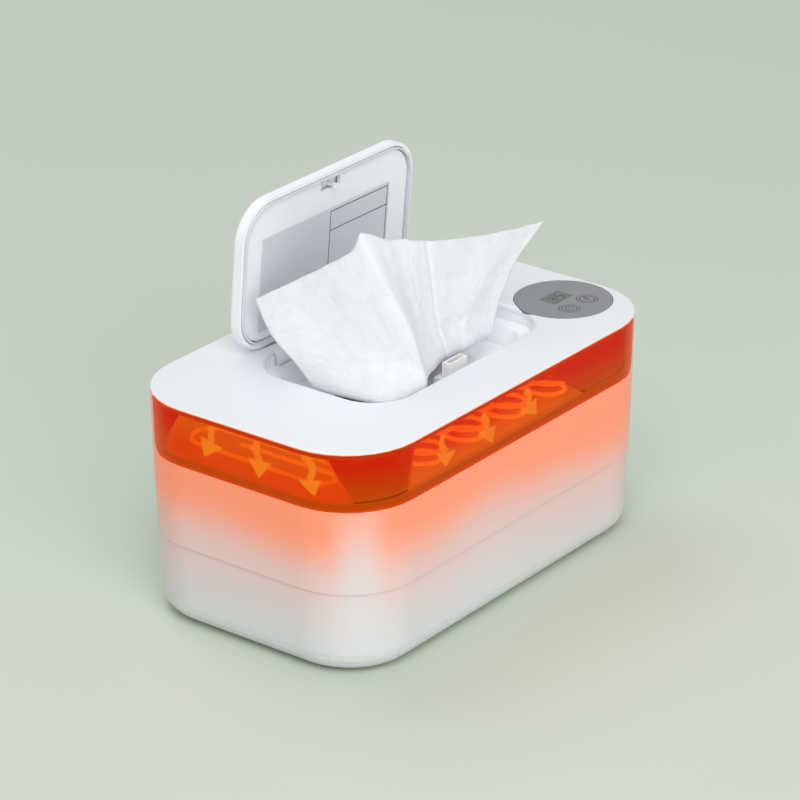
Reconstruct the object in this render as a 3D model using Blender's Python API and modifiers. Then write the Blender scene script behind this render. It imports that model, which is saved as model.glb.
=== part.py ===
"""Baby wipe warmer with a top heater, a lit amber band, a sprung lid on a touch latch and a lift-off cover.

+Z is up and the feet stand on z = 0. +X points along the body to the end with the control disc, and -Y to
the latch side. The lid is modelled closed and turned open about its hinge. All lengths are in metres.
"""

import math

import bmesh
import bpy
from mathutils import Matrix, Vector

# Driving sizes of the body
body_length = 0.206
body_width = 0.125
body_height = 0.0986
corner_radius = 0.0323
side_draft_share = 0.022
wall = 0.003
top_plate = 0.0026
top_edge_radius = 0.0006
seam_height = 0.0369
fit_gap = 0.0003
weld_gap = 0.00005
weld_drop = 0.0012
overrun = 0.001
spring_points = 10
weld_share = 0.01
weld_reach = 0.00001
corner_steps = 8

# Tub
tub_step = 0.0008
tub_wall = 0.0022
tub_floor = 0.003
foot_drop = 0.0008
tub_bottom_radius = 0.0088
tub_inner_radius = 0.0068
spigot_height = 0.005
spigot_wall = 0.0014
foot_radius = 0.006
foot_height = 0.0016
foot_inset_x = 0.028
foot_inset_y = 0.024

# Lid recess in the top plate, about the lid's own centre line
lid_centre_x = 0.003
lid_end_margin = 0.047
lid_front_margin = 0.0297
lid_back_margin = 0.0285
lid_radius = 0.017
lid_side_gap = 0.0012
recess_edge_radius = 0.0022
recess_front_radius = 0.0178
recess_back_radius = 0.0218
recess_back_gap = 0.0033
recess_depth = 0.0066
ledge_width = 0.0062
dish_depth = 0.006
dish_slope = 0.005
basin_wall = 0.002

# Hinge
pivot_setback = 0.007
pivot_drop = 0.0066
barrel_radius = 0.0062
barrel_end_margin = 0.0192
pin_radius = 0.0015
pin_clearance = 0.0003
bay_end_gap = 0.0007
bay_wall = 0.002
bay_back_gap = 0.0008
bay_front_relief = 0.0026
lid_open_angle = math.radians(85.0)

# Lid
lid_skin = 0.0018
lid_wall = 0.0016
lid_edge_radius = 0.0014
lid_rim_lift = 0.0013
seal_width = 0.0009
seal_gap = 0.0003
liner_lift = 0.0015
liner_skin = 0.0014
liner_wall = 0.0012
liner_edge_radius = 0.0008
label_length = 0.0826
label_width = 0.0415
label_thickness = 0.0003
label_shift_x = -0.0015
label_front = 0.0155

# Touch latch
latch_setback = 0.0058
cartridge_length = 0.012
cartridge_width = 0.0038
cartridge_top_drop = 0.0003
latch_travel = 0.0034
latch_wall = 0.0009
latch_pad_wall = 0.0008
latch_depth = 0.0155
cartridge_height = 0.0124
cartridge_mouth = 0.0094
cartridge_slot_width = 0.0022
cartridge_floor = 0.002
jaw_offset = 0.0022
jaw_thickness = 0.0012
jaw_width = 0.0016
jaw_height = 0.0077
jaw_hook = 0.0006
jaw_hook_height = 0.0012
jaw_pin_radius = 0.0004
jaw_open_angle = math.radians(12.0)
strike_neck = 0.0014
strike_head = 0.0026
strike_head_height = 0.0018
strike_drop = 0.0061
strike_base_length = 0.0052
strike_base_height = 0.0008
latch_spring_radius = 0.0013
latch_spring_wire = 0.00025
latch_spring_turns = 6

# Amber window band and the light diffusers behind it
band_top_drop = 0.001
band_bottom_drop = 0.0251
band_thickness = 0.0018
band_land = 0.0025
band_corner_radius = 0.005
band_start_steps = 5
band_end_steps = 2
diffuser_thickness = 0.0006
diffuser_top_drop = 0.004
diffuser_bottom_drop = 0.0262
# Where the sheets end, at the foot and at the top: the end sheet's in shares of the corners' arcs, and the
# front sheet's in shares of the front wall's flat length.
diffuser_end_shares = ((0.36, 0.5), (0.04, 0.24))
diffuser_front_shares = ((0.01, 0.87), (0.03, 0.65))
wall_pieces = 56
light_strip_thickness = 0.0008
light_strip_height = 0.004

# Dispensing plate
plate_flange = 0.0025
plate_thickness = 0.0018
slot_end_margin = 0.006
slot_half_width = 0.0045
slot_end_share = 0.96
lip_width = 0.0035
lip_height = 0.0034

# Heater tray
tray_drop = 0.0268
tray_thickness = 0.0018
collar_wall = 0.0014
spreader_thickness = 0.001
spreader_end_gap = 0.033
spreader_side_gap = 0.0195
spreader_radius = 0.012
boss_radius = 0.0035
boss_end_inset = 0.025
boss_side_inset = 0.0125
screw_radius = 0.0013
screw_head_radius = 0.0028
screw_head_height = 0.0014
screw_length = 0.009

# Heating coil
wire_radius = 0.0009
loop_radius = 0.0088
loop_wall_gap = 0.0145
loop_drop = 0.0045
loop_top_drop = 0.0118
first_loop_inset = 0.068
loop_end_gap = 0.0335
loop_stations = 4
loop_turns = 2
loop_points = 24
turn_radius = 0.009
racetrack_end_gap = 0.0205
racetrack_radius = 0.00675
racetrack_back_gap = 0.0365
racetrack_tail_share = 0.8
coil_end_shift = 0.017
coil_tail = 0.010
holder_width = 0.004

# Control end
disc_end_gap = 0.0228
disc_side_gap = 0.0363
disc_radius = 0.0208
disc_thickness = 0.0014
disc_hole_radius = 0.0172
display_shift_x = -0.0004
display_shift_y = 0.0035
display_length = 0.012
display_width = 0.0074
display_frame = 0.0015
display_depth = 0.0026
key_radius = 0.0044
key_shift_y = -0.0078
power_key_shift_x = -0.0066
mode_key_shift_x = 0.0063
key_flange = 0.0011
key_flange_height = 0.0008
key_travel = 0.0005
board_thickness = 0.0016
board_size = 0.033
board_drop = 0.0046
board_shift_x = -0.0002
board_shift_y = 0.0002
switch_size = 0.0045
post_radius = 0.002
post_inset = 0.0025

# Power end
power_board_length = 0.036
power_board_width = 0.020
power_board_end_gap = 0.029
power_board_side_gap = 0.0285
power_board_lift = 0.003
standoff_radius = 0.002
standoff_place_shares = ((-0.8, -0.7), (0.8, -0.7), (-0.8, 0.8))
inductor_place_share = 0.5
capacitor_place_share = -0.3
inductor_radius = 0.0055
inductor_height = 0.0075
capacitor_radius = 0.004
capacitor_height = 0.011
socket_end_gap = 0.037
socket_length = 0.009
socket_depth = 0.012
socket_height = 0.009
socket_bore_radius = 0.0028
socket_pin_radius = 0.001
socket_bore_depth = 0.0085
thermostat_radius = 0.005
thermostat_height = 0.0045
thermostat_end_gap = 0.041
thermostat_side_gap = 0.0265
lead_radius = 0.0008
lead_points = 26
lead_drop_share = 0.125

# Torsion spring of the lid
lid_spring_radius = 0.0030
lid_spring_wire = 0.0004
lid_spring_turns = 8
lid_spring_pitch = 0.0014
lid_spring_leg = 0.006
spring_slot_half_length = 0.009

# Wipes
stack_end_gap = 0.013
stack_side_gap = 0.0145
stack_headroom = 0.0139
stack_radius = 0.012
stack_edge_radius = 0.004
wipe_thickness = 0.0008
wipe_rise = 0.074
wipe_reach = 0.075
wipe_columns = 24
wipe_rows = 18

# Levels that follow from the driving sizes
half_length = body_length / 2
half_width = body_width / 2
lid_half_length = half_length - lid_end_margin
lid_front = half_width - lid_front_margin
lid_back = half_width - lid_back_margin
recess_back = lid_back + recess_back_gap
pivot_y = lid_back + pivot_setback
barrel_half_length = lid_half_length - barrel_end_margin
latch_y = latch_setback - lid_front
recess_floor_z = body_height - recess_depth
dish_z = recess_floor_z - dish_depth
pivot_z = body_height - pivot_drop
lid_top_z = pivot_z + barrel_radius
lid_rim_z = recess_floor_z + lid_rim_lift
liner_z = recess_floor_z + liner_lift
tray_top_z = body_height - tray_drop
tray_bottom_z = tray_top_z - tray_thickness
stack_base_z = foot_drop + tub_floor + fit_gap
stack_height = tray_bottom_z - stack_headroom - stack_base_z
stack_half_length = half_length - stack_end_gap
stack_half_width = half_width - stack_side_gap
lid_centre_y = (lid_back - lid_front) / 2
lid_half_width = (lid_back + lid_front) / 2
recess_front = lid_front + lid_side_gap
recess_half_length = lid_half_length + lid_side_gap
recess_centre_y = (recess_back - recess_front) / 2
recess_half_width = (recess_back + recess_front) / 2
dish_inset = ledge_width + dish_slope
opening_half_length = recess_half_length - dish_inset
opening_half_width = recess_half_width - dish_inset
opening_radii = (recess_front_radius - dish_inset, recess_back_radius - dish_inset)
slot_half_length = opening_half_length - slot_end_margin
spreader_half_length = half_length - spreader_end_gap
spreader_half_width = half_width - spreader_side_gap
boss_x = half_length - boss_end_inset
boss_y = half_width - boss_side_inset
loop_centre_y = loop_wall_gap - half_width
first_loop_x = half_length - first_loop_inset
coil_end_x = first_loop_x + coil_end_shift
racetrack_inner_x = racetrack_end_gap - half_length
racetrack_back_y = half_width - racetrack_back_gap
loop_pitch = (first_loop_x - racetrack_inner_x - loop_end_gap) / (loop_stations - 1)
disc_x = half_length - disc_end_gap
disc_y = disc_side_gap - half_width
display_x = disc_x + display_shift_x
display_y = disc_y + display_shift_y
power_key_x = disc_x + power_key_shift_x
mode_key_x = disc_x + mode_key_shift_x
key_y = disc_y + key_shift_y
board_x = disc_x + board_shift_x
board_y = disc_y + board_shift_y
power_board_x = half_length - power_board_end_gap
power_board_y = half_width - power_board_side_gap
socket_x = half_length - socket_end_gap
thermostat_x = thermostat_end_gap - half_length
thermostat_y = half_width - thermostat_side_gap

for item in list(bpy.data.objects):
    bpy.data.objects.remove(item, do_unlink=True)

parts = bpy.data.collections.new("baby_wipe_warmer")
cutters = bpy.data.collections.new("cutters")
bpy.context.scene.collection.children.link(parts)
bpy.context.scene.collection.children.link(cutters)


def plastic(name, colour, roughness=0.45, metallic=0.0):
    """A Principled material of one colour."""
    material = bpy.data.materials.new(name)
    material.use_nodes = True
    shader = material.node_tree.nodes["Principled BSDF"]
    shader.inputs["Base Color"].default_value = (*colour, 1.0)
    shader.inputs["Roughness"].default_value = roughness
    shader.inputs["Metallic"].default_value = metallic
    return material


white = plastic("white_plastic", (0.84, 0.85, 0.87), 0.4)
frosted = plastic("frosted_silicone", (0.78, 0.80, 0.84), 0.6)
amber = plastic("amber_plastic", (0.72, 0.13, 0.02), 0.2)
diffuser_film = plastic("diffuser_film", (0.85, 0.36, 0.12), 0.5)
glowing_wire = plastic("heating_wire", (0.95, 0.25, 0.05), 0.4)
grey = plastic("panel_grey", (0.27, 0.27, 0.27), 0.5)
dark = plastic("display_dark", (0.12, 0.13, 0.12), 0.3)
clear = plastic("display_lens", (0.20, 0.21, 0.20), 0.1)
silver = plastic("label_silver", (0.58, 0.60, 0.63), 0.35, 0.6)
steel = plastic("steel", (0.62, 0.62, 0.62), 0.3, 1.0)
aluminium = plastic("aluminium", (0.75, 0.76, 0.78), 0.4, 1.0)
cream = plastic("cream_acetal", (0.75, 0.72, 0.62), 0.5)
green = plastic("circuit_board", (0.03, 0.18, 0.08), 0.5)
black = plastic("black_plastic", (0.03, 0.03, 0.03), 0.5)
ceramic = plastic("ceramic", (0.80, 0.78, 0.72), 0.7)
rubber = plastic("grey_rubber", (0.25, 0.25, 0.25), 0.9)
tissue = plastic("wipe_cloth", (0.88, 0.88, 0.90), 0.95)
copper = plastic("copper_winding", (0.55, 0.24, 0.10), 0.35, 1.0)
red_wire = plastic("red_lead", (0.55, 0.03, 0.03), 0.6)


def holder_empty(name, location):
    """An empty on a joint's axis, which carries the pieces that move with it."""
    empty = bpy.data.objects.new(name, None)
    empty.location = location
    parts.objects.link(empty)
    return empty


def place(name, mesh, material, carrier=None, smooth_angle=35.0):
    """Makes a mesh given in world coordinates an object, whose origin is its carrier's."""
    mesh.name = name
    thing = bpy.data.objects.new(name, mesh)
    thing.data.materials.append(material)
    parts.objects.link(thing)
    if carrier:
        mesh.transform(Matrix.Translation(-carrier.location))
        thing.parent = carrier
    mesh.shade_smooth()
    mesh.set_sharp_from_angle(angle=math.radians(smooth_angle))
    return thing


def modify(thing, mesh, operation, carrier=None):
    """Cuts from a piece, or joins to it, a mesh given in world coordinates."""
    tool = bpy.data.objects.new(thing.name + "_tool", mesh)
    cutters.objects.link(tool)
    if carrier:
        mesh.transform(Matrix.Translation(-carrier.location))
        tool.parent = carrier
    tool.hide_render = True
    tool.display_type = "WIRE"
    boolean = thing.modifiers.new(operation.lower(), "BOOLEAN")
    boolean.operation = operation
    boolean.solver = "EXACT"
    boolean.object = tool


def cut(thing, mesh, carrier=None):
    modify(thing, mesh, "DIFFERENCE", carrier)


def fuse(thing, mesh, carrier=None):
    modify(thing, mesh, "UNION", carrier)


def weld(thing):
    """Joins points that a cut along the wall's own edges left a hair apart."""
    thing.modifiers.new("weld", "WELD").merge_threshold = weld_reach


def finished(builder):
    """A mesh of a bmesh whose faces are turned outwards."""
    bmesh.ops.recalc_face_normals(builder, faces=builder.faces)
    mesh = bpy.data.meshes.new("piece")
    builder.to_mesh(mesh)
    builder.free()
    return mesh


def box(low, high):
    """A box from its lowest to its highest corner."""
    builder = bmesh.new()
    bmesh.ops.create_cube(builder, size=1.0)
    low, high = Vector(low), Vector(high)
    size = high - low
    for vertex in builder.verts:
        vertex.co = (low + high) / 2 + Vector(a * b for a, b in zip(vertex.co, size))
    return finished(builder)


def cylinder(start, end, radius, segments=24):
    """A cylinder between two points."""
    builder = bmesh.new()
    start, end = Vector(start), Vector(end)
    along = end - start
    turn = along.to_track_quat("Z", "Y").to_matrix().to_4x4()
    bmesh.ops.create_cone(
        builder,
        cap_ends=True,
        segments=segments,
        radius1=radius,
        radius2=radius,
        depth=along.length,
        matrix=Matrix.Translation((start + end) / 2) @ turn,
    )
    return finished(builder)


def loft(rings, loop=False):
    """A solid through rings of as many points each: capped at both ends, or closed on itself."""
    builder = bmesh.new()
    rows = [[builder.verts.new(point) for point in ring] for ring in rings]
    count = len(rows[0])
    pairs = list(zip(rows, rows[1:])) + ([(rows[-1], rows[0])] if loop else [])
    for lower, upper in pairs:
        for k in range(count):
            after = (k + 1) % count
            builder.faces.new((lower[k], lower[after], upper[after], upper[k]))
    if not loop:
        builder.faces.new(rows[0][::-1])
        builder.faces.new(rows[-1])
    return finished(builder)


def rounded(half_x, half_y, radii, z, centre=(0.0, 0.0), inset=0.0, steps=corner_steps):
    """The points of a rounded rectangle at a height: radii are those of the front and the back corners."""
    front, back = radii
    points = []
    for quarter, (sign_x, sign_y, radius) in enumerate(
        ((1, 1, back), (-1, 1, back), (-1, -1, front), (1, -1, front))
    ):
        inner_x = centre[0] + sign_x * (half_x - radius)
        inner_y = centre[1] + sign_y * (half_y - radius)
        for step in range(steps + 1):
            angle = math.radians(90.0 * (quarter + step / steps))
            reach = radius - inset
            points.append((inner_x + reach * math.cos(angle), inner_y + reach * math.sin(angle), z))
    return points


def drafted(z, inset=0.0):
    """The body's outline at a height, drawn in by its draft and by an inset."""
    draft = side_draft_share * (body_height - z)
    return rounded(half_length, half_width, (corner_radius, corner_radius), z, inset=inset + draft)


def quarter_steps(count):
    """Shares of a fillet's radius, out and up, from its flat to its wall."""
    for step in range(count + 1):
        angle = math.pi / 2 * step / count
        yield 1 - math.sin(angle), 1 - math.cos(angle)


def make_tub():
    """The lower container: a drafted bowl with a spigot that locates the upper cover."""
    rings = []
    for out, up in quarter_steps(5):
        rings.append(drafted(foot_drop + tub_bottom_radius * up, tub_step + tub_bottom_radius * out))
    spigot_inset = wall + fit_gap
    rings.append(drafted(seam_height, tub_step))
    rings.append(drafted(seam_height, spigot_inset))
    rings.append(drafted(seam_height + spigot_height, spigot_inset))
    rings.append(drafted(seam_height + spigot_height, spigot_inset + spigot_wall))
    rings.append(drafted(seam_height, spigot_inset + spigot_wall))
    inner_inset = tub_step + tub_wall
    rings.append(drafted(seam_height - tub_wall, inner_inset))
    for out, up in reversed(list(quarter_steps(3))):
        height = foot_drop + tub_floor + tub_inner_radius * up
        rings.append(drafted(height, inner_inset + tub_inner_radius * out))
    tub = place("tub", loft(rings), white)
    for number, (x, y) in enumerate(foot_places(), 1):
        top = foot_height + fit_gap
        cut(tub, cylinder((x, y, 0), (x, y, top), foot_radius + fit_gap))
        place(f"foot_{number}", cylinder((x, y, 0), (x, y, foot_height), foot_radius), rubber)


def foot_places():
    x, y = half_length - foot_inset_x, half_width - foot_inset_y
    return ((-x, -y), (x, -y), (x, y), (-x, y))


def recess_ring(z, inset=0.0):
    """The lid recess's outline at a height."""
    centre = (lid_centre_x, recess_centre_y)
    radii = (recess_front_radius, recess_back_radius)
    return rounded(recess_half_length, recess_half_width, radii, z, centre, inset)


def make_skirt():
    """The cover's lower wall, a plain ring from the seam up to the weld under the window."""
    low, high = seam_height + fit_gap, weld_z()
    rings = [drafted(low), drafted(high), drafted(high, wall), drafted(low, wall)]
    place("cover_skirt", loft(rings, loop=True), white)


def make_cover():
    """The upper cover: the wall round the window and the top plate, welded to the skirt under it."""
    base = weld_z() + weld_gap
    underside = body_height - top_plate
    rings = [drafted(base)]
    for out, up in quarter_steps(2):
        rings.append(drafted(body_height - top_edge_radius * out, top_edge_radius * up))
    for out, up in quarter_steps(4):
        rings.append(recess_ring(body_height - recess_edge_radius * up, -recess_edge_radius * out))
    rings.append(recess_ring(underside))
    rings.append(drafted(underside, wall))
    rings.append(drafted(base, wall))
    cover = place("upper_cover", loft(rings, loop=True), white)
    cut(cover, box(*bay_corners(0.0, body_height + overrun)))
    add_bosses(cover)
    cut_band_seat(cover)
    cut_panel_seat(cover)
    cut_socket_hole(cover)
    weld(cover)


def make_basin():
    """The lid's basin, welded under the top plate: recess wall, ledge, dish, hinge bay and latch seat."""
    top = body_height - top_plate - weld_gap
    rings = [
        recess_ring(top),
        recess_ring(recess_floor_z),
        recess_ring(recess_floor_z, ledge_width),
        recess_ring(dish_z, dish_inset),
        recess_ring(dish_z - basin_wall, dish_inset),
        recess_ring(recess_floor_z - basin_wall, ledge_width - basin_wall),
        recess_ring(recess_floor_z - basin_wall, -basin_wall),
        recess_ring(top, -basin_wall),
    ]
    basin = place("lid_basin", loft(rings, loop=True), white)
    add_hinge_bay(basin, top)
    add_latch_seat(basin)


def bay_corners(margin, high_z):
    """The corners of the space round the lid's barrel, wider by a margin."""
    x = barrel_half_length + bay_end_gap + margin
    y = barrel_radius + bay_back_gap + margin
    low = (lid_centre_x - x, pivot_y - y, pivot_z - y)
    return low, (lid_centre_x + x, pivot_y + y, high_z)


def add_hinge_bay(basin, top):
    """A deeper pocket behind the ledge, whose end walls carry the hinge pin."""
    fuse(basin, box(*bay_corners(bay_wall, top)))
    cut(basin, box(*bay_corners(0.0, top + overrun)))
    # The space over the ledge, which the bay's front and end walls would fill up to the top plate.
    low, high = bay_corners(2 * bay_wall, top + overrun)
    relief_y = pivot_y - barrel_radius - bay_back_gap + bay_front_relief
    cut(basin, box((low[0], low[1], recess_floor_z), (high[0], relief_y, high[2])))
    reach = barrel_half_length + bay_end_gap + bay_wall - fit_gap
    start, end = (lid_centre_x - reach, pivot_y, pivot_z), (lid_centre_x + reach, pivot_y, pivot_z)
    cut(basin, cylinder(start, end, pin_radius + pin_clearance))


def latch_box(margin, low_z, high_z):
    """A box round the latch cartridge, wider by a margin."""
    x, y = cartridge_length / 2 + margin, cartridge_width / 2 + margin
    return box((lid_centre_x - x, latch_y - y, low_z), (lid_centre_x + x, latch_y + y, high_z))


def add_latch_seat(basin):
    """A pad that brings the ledge out round the latch, with the hole for its housing."""
    hole = fit_gap + latch_wall + fit_gap
    fuse(basin, latch_box(hole + latch_pad_wall, dish_z - basin_wall / 2, recess_floor_z))
    cut(basin, latch_box(hole, dish_z - 2 * basin_wall, recess_floor_z + overrun))


def boss_places():
    return ((-boss_x, -boss_y), (boss_x, -boss_y), (boss_x, boss_y), (-boss_x, boss_y))


def add_bosses(cover):
    """Screw bosses for the heater tray, and posts for the control board."""
    top = body_height - top_plate / 2
    for x, y in boss_places():
        fuse(cover, cylinder((x, y, tray_top_z + fit_gap), (x, y, top), boss_radius, 16))
        depth = tray_top_z + screw_length
        cut(cover, cylinder((x, y, tray_top_z), (x, y, depth), screw_radius + fit_gap, 12))
    for x, y in board_posts():
        fuse(cover, cylinder((x, y, board_top() + fit_gap), (x, y, top), post_radius, 12))


def board_top():
    return body_height - top_plate - board_drop + board_thickness


def board_posts():
    reach = board_size / 2 - post_inset
    low_x, high_x = board_x - reach, board_x + reach
    low_y, high_y = board_y - reach, board_y + reach
    return ((low_x, high_y), (high_x, high_y), (low_x, low_y))


def outline_corner(quarter):
    sign_x, sign_y = ((1, 1), (-1, 1), (-1, -1), (1, -1))[quarter]
    return Vector((sign_x * (half_length - corner_radius), sign_y * (half_width - corner_radius)))


def facet_point(step, inset, z):
    """A point of the wall at a whole step of its corners, counted on from the back left corner."""
    quarter, rest = divmod(step, corner_steps + 1)
    angle = math.radians(90.0 * (quarter + 1 + rest / corner_steps))
    reach = corner_radius - inset - side_draft_share * (body_height - z)
    flat = outline_corner(quarter + 1) + reach * Vector((math.cos(angle), math.sin(angle)))
    return Vector((flat.x, flat.y, z))


def weld_z():
    """The height of the weld between skirt and upper cover, a little under the window's seat."""
    return body_height - band_bottom_drop - fit_gap - weld_drop


def band_solid(grow, outer_inset, inner_inset, radius):
    """A band that follows the cover's wall, with its lower corners rounded or square, grown by a margin."""
    bottom = body_height - band_bottom_drop - grow
    top = body_height - band_top_drop + grow
    first = band_start_steps
    last = 2 * (corner_steps + 1) + band_end_steps
    corner = list(quarter_steps(4)) if radius else [(0.0, 0.0)]
    sections = []

    def section(step_a, step_b, share, low, stretch=0.0):
        points = []
        for inset, z in ((outer_inset, low), (outer_inset, top), (inner_inset, top), (inner_inset, low)):
            a, b = facet_point(step_a, inset, z), facet_point(step_b, inset, z)
            along = (b - a).normalized()
            points.append(a.lerp(b, share) + along * stretch)
        sections.append(points)

    facet = (facet_point(first, 0, top) - facet_point(first + 1, 0, top)).length
    for out, up in corner:
        section(first, first + 1, radius * up / facet, bottom + radius * out, -grow)
    for step in range(first + 1, last):
        section(step, step + 1, 0.0, bottom)
    for out, up in reversed(corner):
        section(last, last - 1, radius * up / facet, bottom + radius * out, -grow)
    return loft(sections)


def cut_band_seat(cover):
    """The rebate that the amber window lies in, and the opening behind it."""
    for tool in (
        band_solid(fit_gap, -overrun, band_thickness + fit_gap, band_corner_radius + fit_gap),
        band_solid(-band_land, band_thickness / 2, wall + overrun, 0.0),
    ):
        cut(cover, tool)
        weld(cover)


def make_window():
    window = band_solid(0.0, 0.0, band_thickness, band_corner_radius)
    place("amber_window", window, amber)


def wall_point(distance, inset, z):
    """A point of the wall at a distance along it, from the middle of the left end towards the front."""
    reach = corner_radius - inset - side_draft_share * (body_height - z)
    side = half_width - corner_radius
    arc = corner_radius * math.pi / 2
    left = -half_length + corner_radius
    if distance < -side:
        angle = math.pi - (-distance - side) / corner_radius
        centre = Vector((left, side))
    elif distance <= side:
        return Vector((left - reach, -distance, z))
    elif distance <= side + arc:
        angle = math.pi + (distance - side) / corner_radius
        centre = Vector((left, -side))
    else:
        return Vector((left + distance - side - arc, -side - reach, z))
    flat = centre + reach * Vector((math.cos(angle), math.sin(angle)))
    return Vector((flat.x, flat.y, z))


def wall_sheet(bottom_span, top_span, low_z, high_z, inset, thickness, pieces):
    """A thin upright sheet along the wall's inner side, whose top may be narrower than its foot."""
    start, end = bottom_span
    stations = [start + (end - start) * k / pieces for k in range(pieces + 1)]
    stations = sorted(set(stations) | set(top_span))
    sections = []
    for at in stations:
        before = (at - start + thickness) / (top_span[0] - start + thickness)
        after = (end - at + thickness) / (end - top_span[1] + thickness)
        top = low_z + (high_z - low_z) * min(1.0, before, after)
        sections.append(
            [
                wall_point(at, inset, low_z),
                wall_point(at, inset, top),
                wall_point(at, inset + thickness, top),
                wall_point(at, inset + thickness, low_z),
            ]
        )
    return loft(sections)


def make_diffusers():
    """Two translucent sheets behind the window, wider at the foot, and the light strip at their feet."""
    side = half_width - corner_radius
    arc = corner_radius * math.pi / 2
    low = body_height - diffuser_bottom_drop
    high = body_height - diffuser_top_drop
    inset = wall + fit_gap
    end_low, end_high = ((-side - arc * back, side + arc * front) for back, front in diffuser_end_shares)
    sheet = wall_sheet(end_low, end_high, low, high, inset, diffuser_thickness, wall_pieces // 2)
    place("diffuser_end", sheet, diffuser_film)
    front = side + arc
    straight = 2 * (half_length - corner_radius)
    front_low, front_high = (
        (front + straight * start_share, front + straight * end_share)
        for start_share, end_share in diffuser_front_shares
    )
    sheet = wall_sheet(front_low, front_high, low, high, inset, diffuser_thickness, 2)
    place("diffuser_front", sheet, diffuser_film)
    foot = tray_top_z + fit_gap
    span = (-side, front_low[1])
    strip_inset = inset + diffuser_thickness + fit_gap
    head = foot + light_strip_height
    strip = wall_sheet(span, span, foot, head, strip_inset, light_strip_thickness, wall_pieces)
    place("light_strip", strip, green)


def cut_panel_seat(cover):
    """The round seat of the control disc, and the hole under it for the display and the keys."""
    seat = body_height - disc_thickness - fit_gap
    centre = (disc_x, disc_y)
    high = body_height + overrun
    cut(cover, cylinder((*centre, seat), (*centre, high), disc_radius + fit_gap, 64))
    cut(cover, cylinder((*centre, seat - 2 * top_plate), (*centre, high), disc_hole_radius, 48))


def socket_z():
    return tray_top_z + power_board_lift + board_thickness + fit_gap + socket_height / 2


def cut_socket_hole(cover):
    """The hole in the back wall for the power socket."""
    z = socket_z()
    reach_x, reach_z = socket_length / 2 + fit_gap, socket_height / 2 + fit_gap
    cut(
        cover,
        box(
            (socket_x - reach_x, half_width - 3 * wall, z - reach_z),
            (socket_x + reach_x, half_width + overrun, z + reach_z),
        ),
    )


def make_dispenser():
    """The plate under the dish, raised into its opening, and the soft lip of its slot."""
    centre = (lid_centre_x, recess_centre_y)
    top = dish_z
    seat = dish_z - basin_wall - fit_gap
    base = seat - plate_thickness

    def ring(z, grow):
        return rounded(opening_half_length, opening_half_width, opening_radii, z, centre, -grow)

    rings = [ring(base, plate_flange), ring(seat, plate_flange), ring(seat, -fit_gap), ring(top, -fit_gap)]
    plate = place("dispensing_plate", loft(rings), white)
    hole = lip_width + fit_gap
    cut(plate, slot_solid(hole, base - overrun, top + overrun))
    cut(plate, latch_box(2 * fit_gap + latch_wall, base - overrun, seat + fit_gap / 2))
    lip_low = top - lip_height
    lip = place("slot_lip", slot_solid(lip_width, lip_low, top + fit_gap), frosted)
    cut(lip, slot_solid(0.0, lip_low - overrun, top + overrun))


def slot_solid(grow, low, high):
    """The dispensing slot's outline as a solid between two heights."""
    half_y = slot_half_width + grow
    radii = (half_y * slot_end_share, half_y * slot_end_share)
    rings = [
        rounded(slot_half_length + grow, half_y, radii, z, (lid_centre_x, recess_centre_y))
        for z in (low, high)
    ]
    return loft(rings)


def make_tray():
    """The tray that closes the heater bay, with a collar round the wipes' way up to the dish."""
    centre = (lid_centre_x, recess_centre_y)
    collar_grow = plate_flange + fit_gap
    collar_top = dish_z - basin_wall - fit_gap

    def ring(z, grow):
        return rounded(opening_half_length, opening_half_width, opening_radii, z, centre, -grow)

    outer = wall + fit_gap
    rings = [
        drafted(tray_bottom_z, outer),
        drafted(tray_top_z, outer),
        ring(tray_top_z, collar_grow + collar_wall),
        ring(collar_top, collar_grow + collar_wall),
        ring(collar_top, collar_grow),
        ring(tray_bottom_z, collar_grow),
    ]
    tray = place("heater_tray", loft(rings, loop=True), white)
    hole_low, hole_top = tray_bottom_z - overrun, tray_top_z + overrun
    for number, (x, y) in enumerate(boss_places(), 1):
        cut(tray, cylinder((x, y, hole_low), (x, y, hole_top), screw_radius + fit_gap, 12))
        head = tray_bottom_z - fit_gap
        screw = cylinder((x, y, head - screw_head_height), (x, y, head), screw_head_radius, 12)
        tip = tray_top_z + screw_length - screw_radius
        item = place(f"tray_screw_{number}", screw, steel)
        fuse(item, cylinder((x, y, head - screw_head_height / 2), (x, y, tip), screw_radius, 12))
    clear_latch = latch_box(2 * fit_gap + latch_wall, tray_top_z + overrun, dish_z)
    cut(tray, clear_latch)
    spreader_top = tray_bottom_z - fit_gap
    radii = (spreader_radius, spreader_radius)
    low, high = spreader_top - spreader_thickness, spreader_top
    rings = [
        rounded(spreader_half_length, spreader_half_width, radii, high, centre),
        ring(high, collar_grow),
        ring(low, collar_grow),
        rounded(spreader_half_length, spreader_half_width, radii, low, centre),
    ]
    place("heat_spreader", loft(rings, loop=True), aluminium)


def tube(name, points, radius, material):
    """A round wire along a list of points, as a welded mesh."""
    curve = bpy.data.curves.new(name, "CURVE")
    curve.dimensions = "3D"
    curve.bevel_depth = radius
    curve.bevel_resolution = 1
    curve.use_fill_caps = True
    spline = curve.splines.new("POLY")
    spline.points.add(len(points) - 1)
    for control, point in zip(spline.points, points):
        control.co = (*point, 1.0)
    wire = bpy.data.objects.new(name + "_path", curve)
    parts.objects.link(wire)
    bpy.context.view_layer.update()
    mesh = bpy.data.meshes.new_from_object(wire.evaluated_get(bpy.context.evaluated_depsgraph_get()))
    mesh.transform(wire.matrix_world)
    bpy.data.objects.remove(wire, do_unlink=True)
    builder = bmesh.new()
    builder.from_mesh(mesh)
    bmesh.ops.remove_doubles(builder, verts=builder.verts, dist=radius * weld_share)
    return place(name, finished(builder), material)


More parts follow.
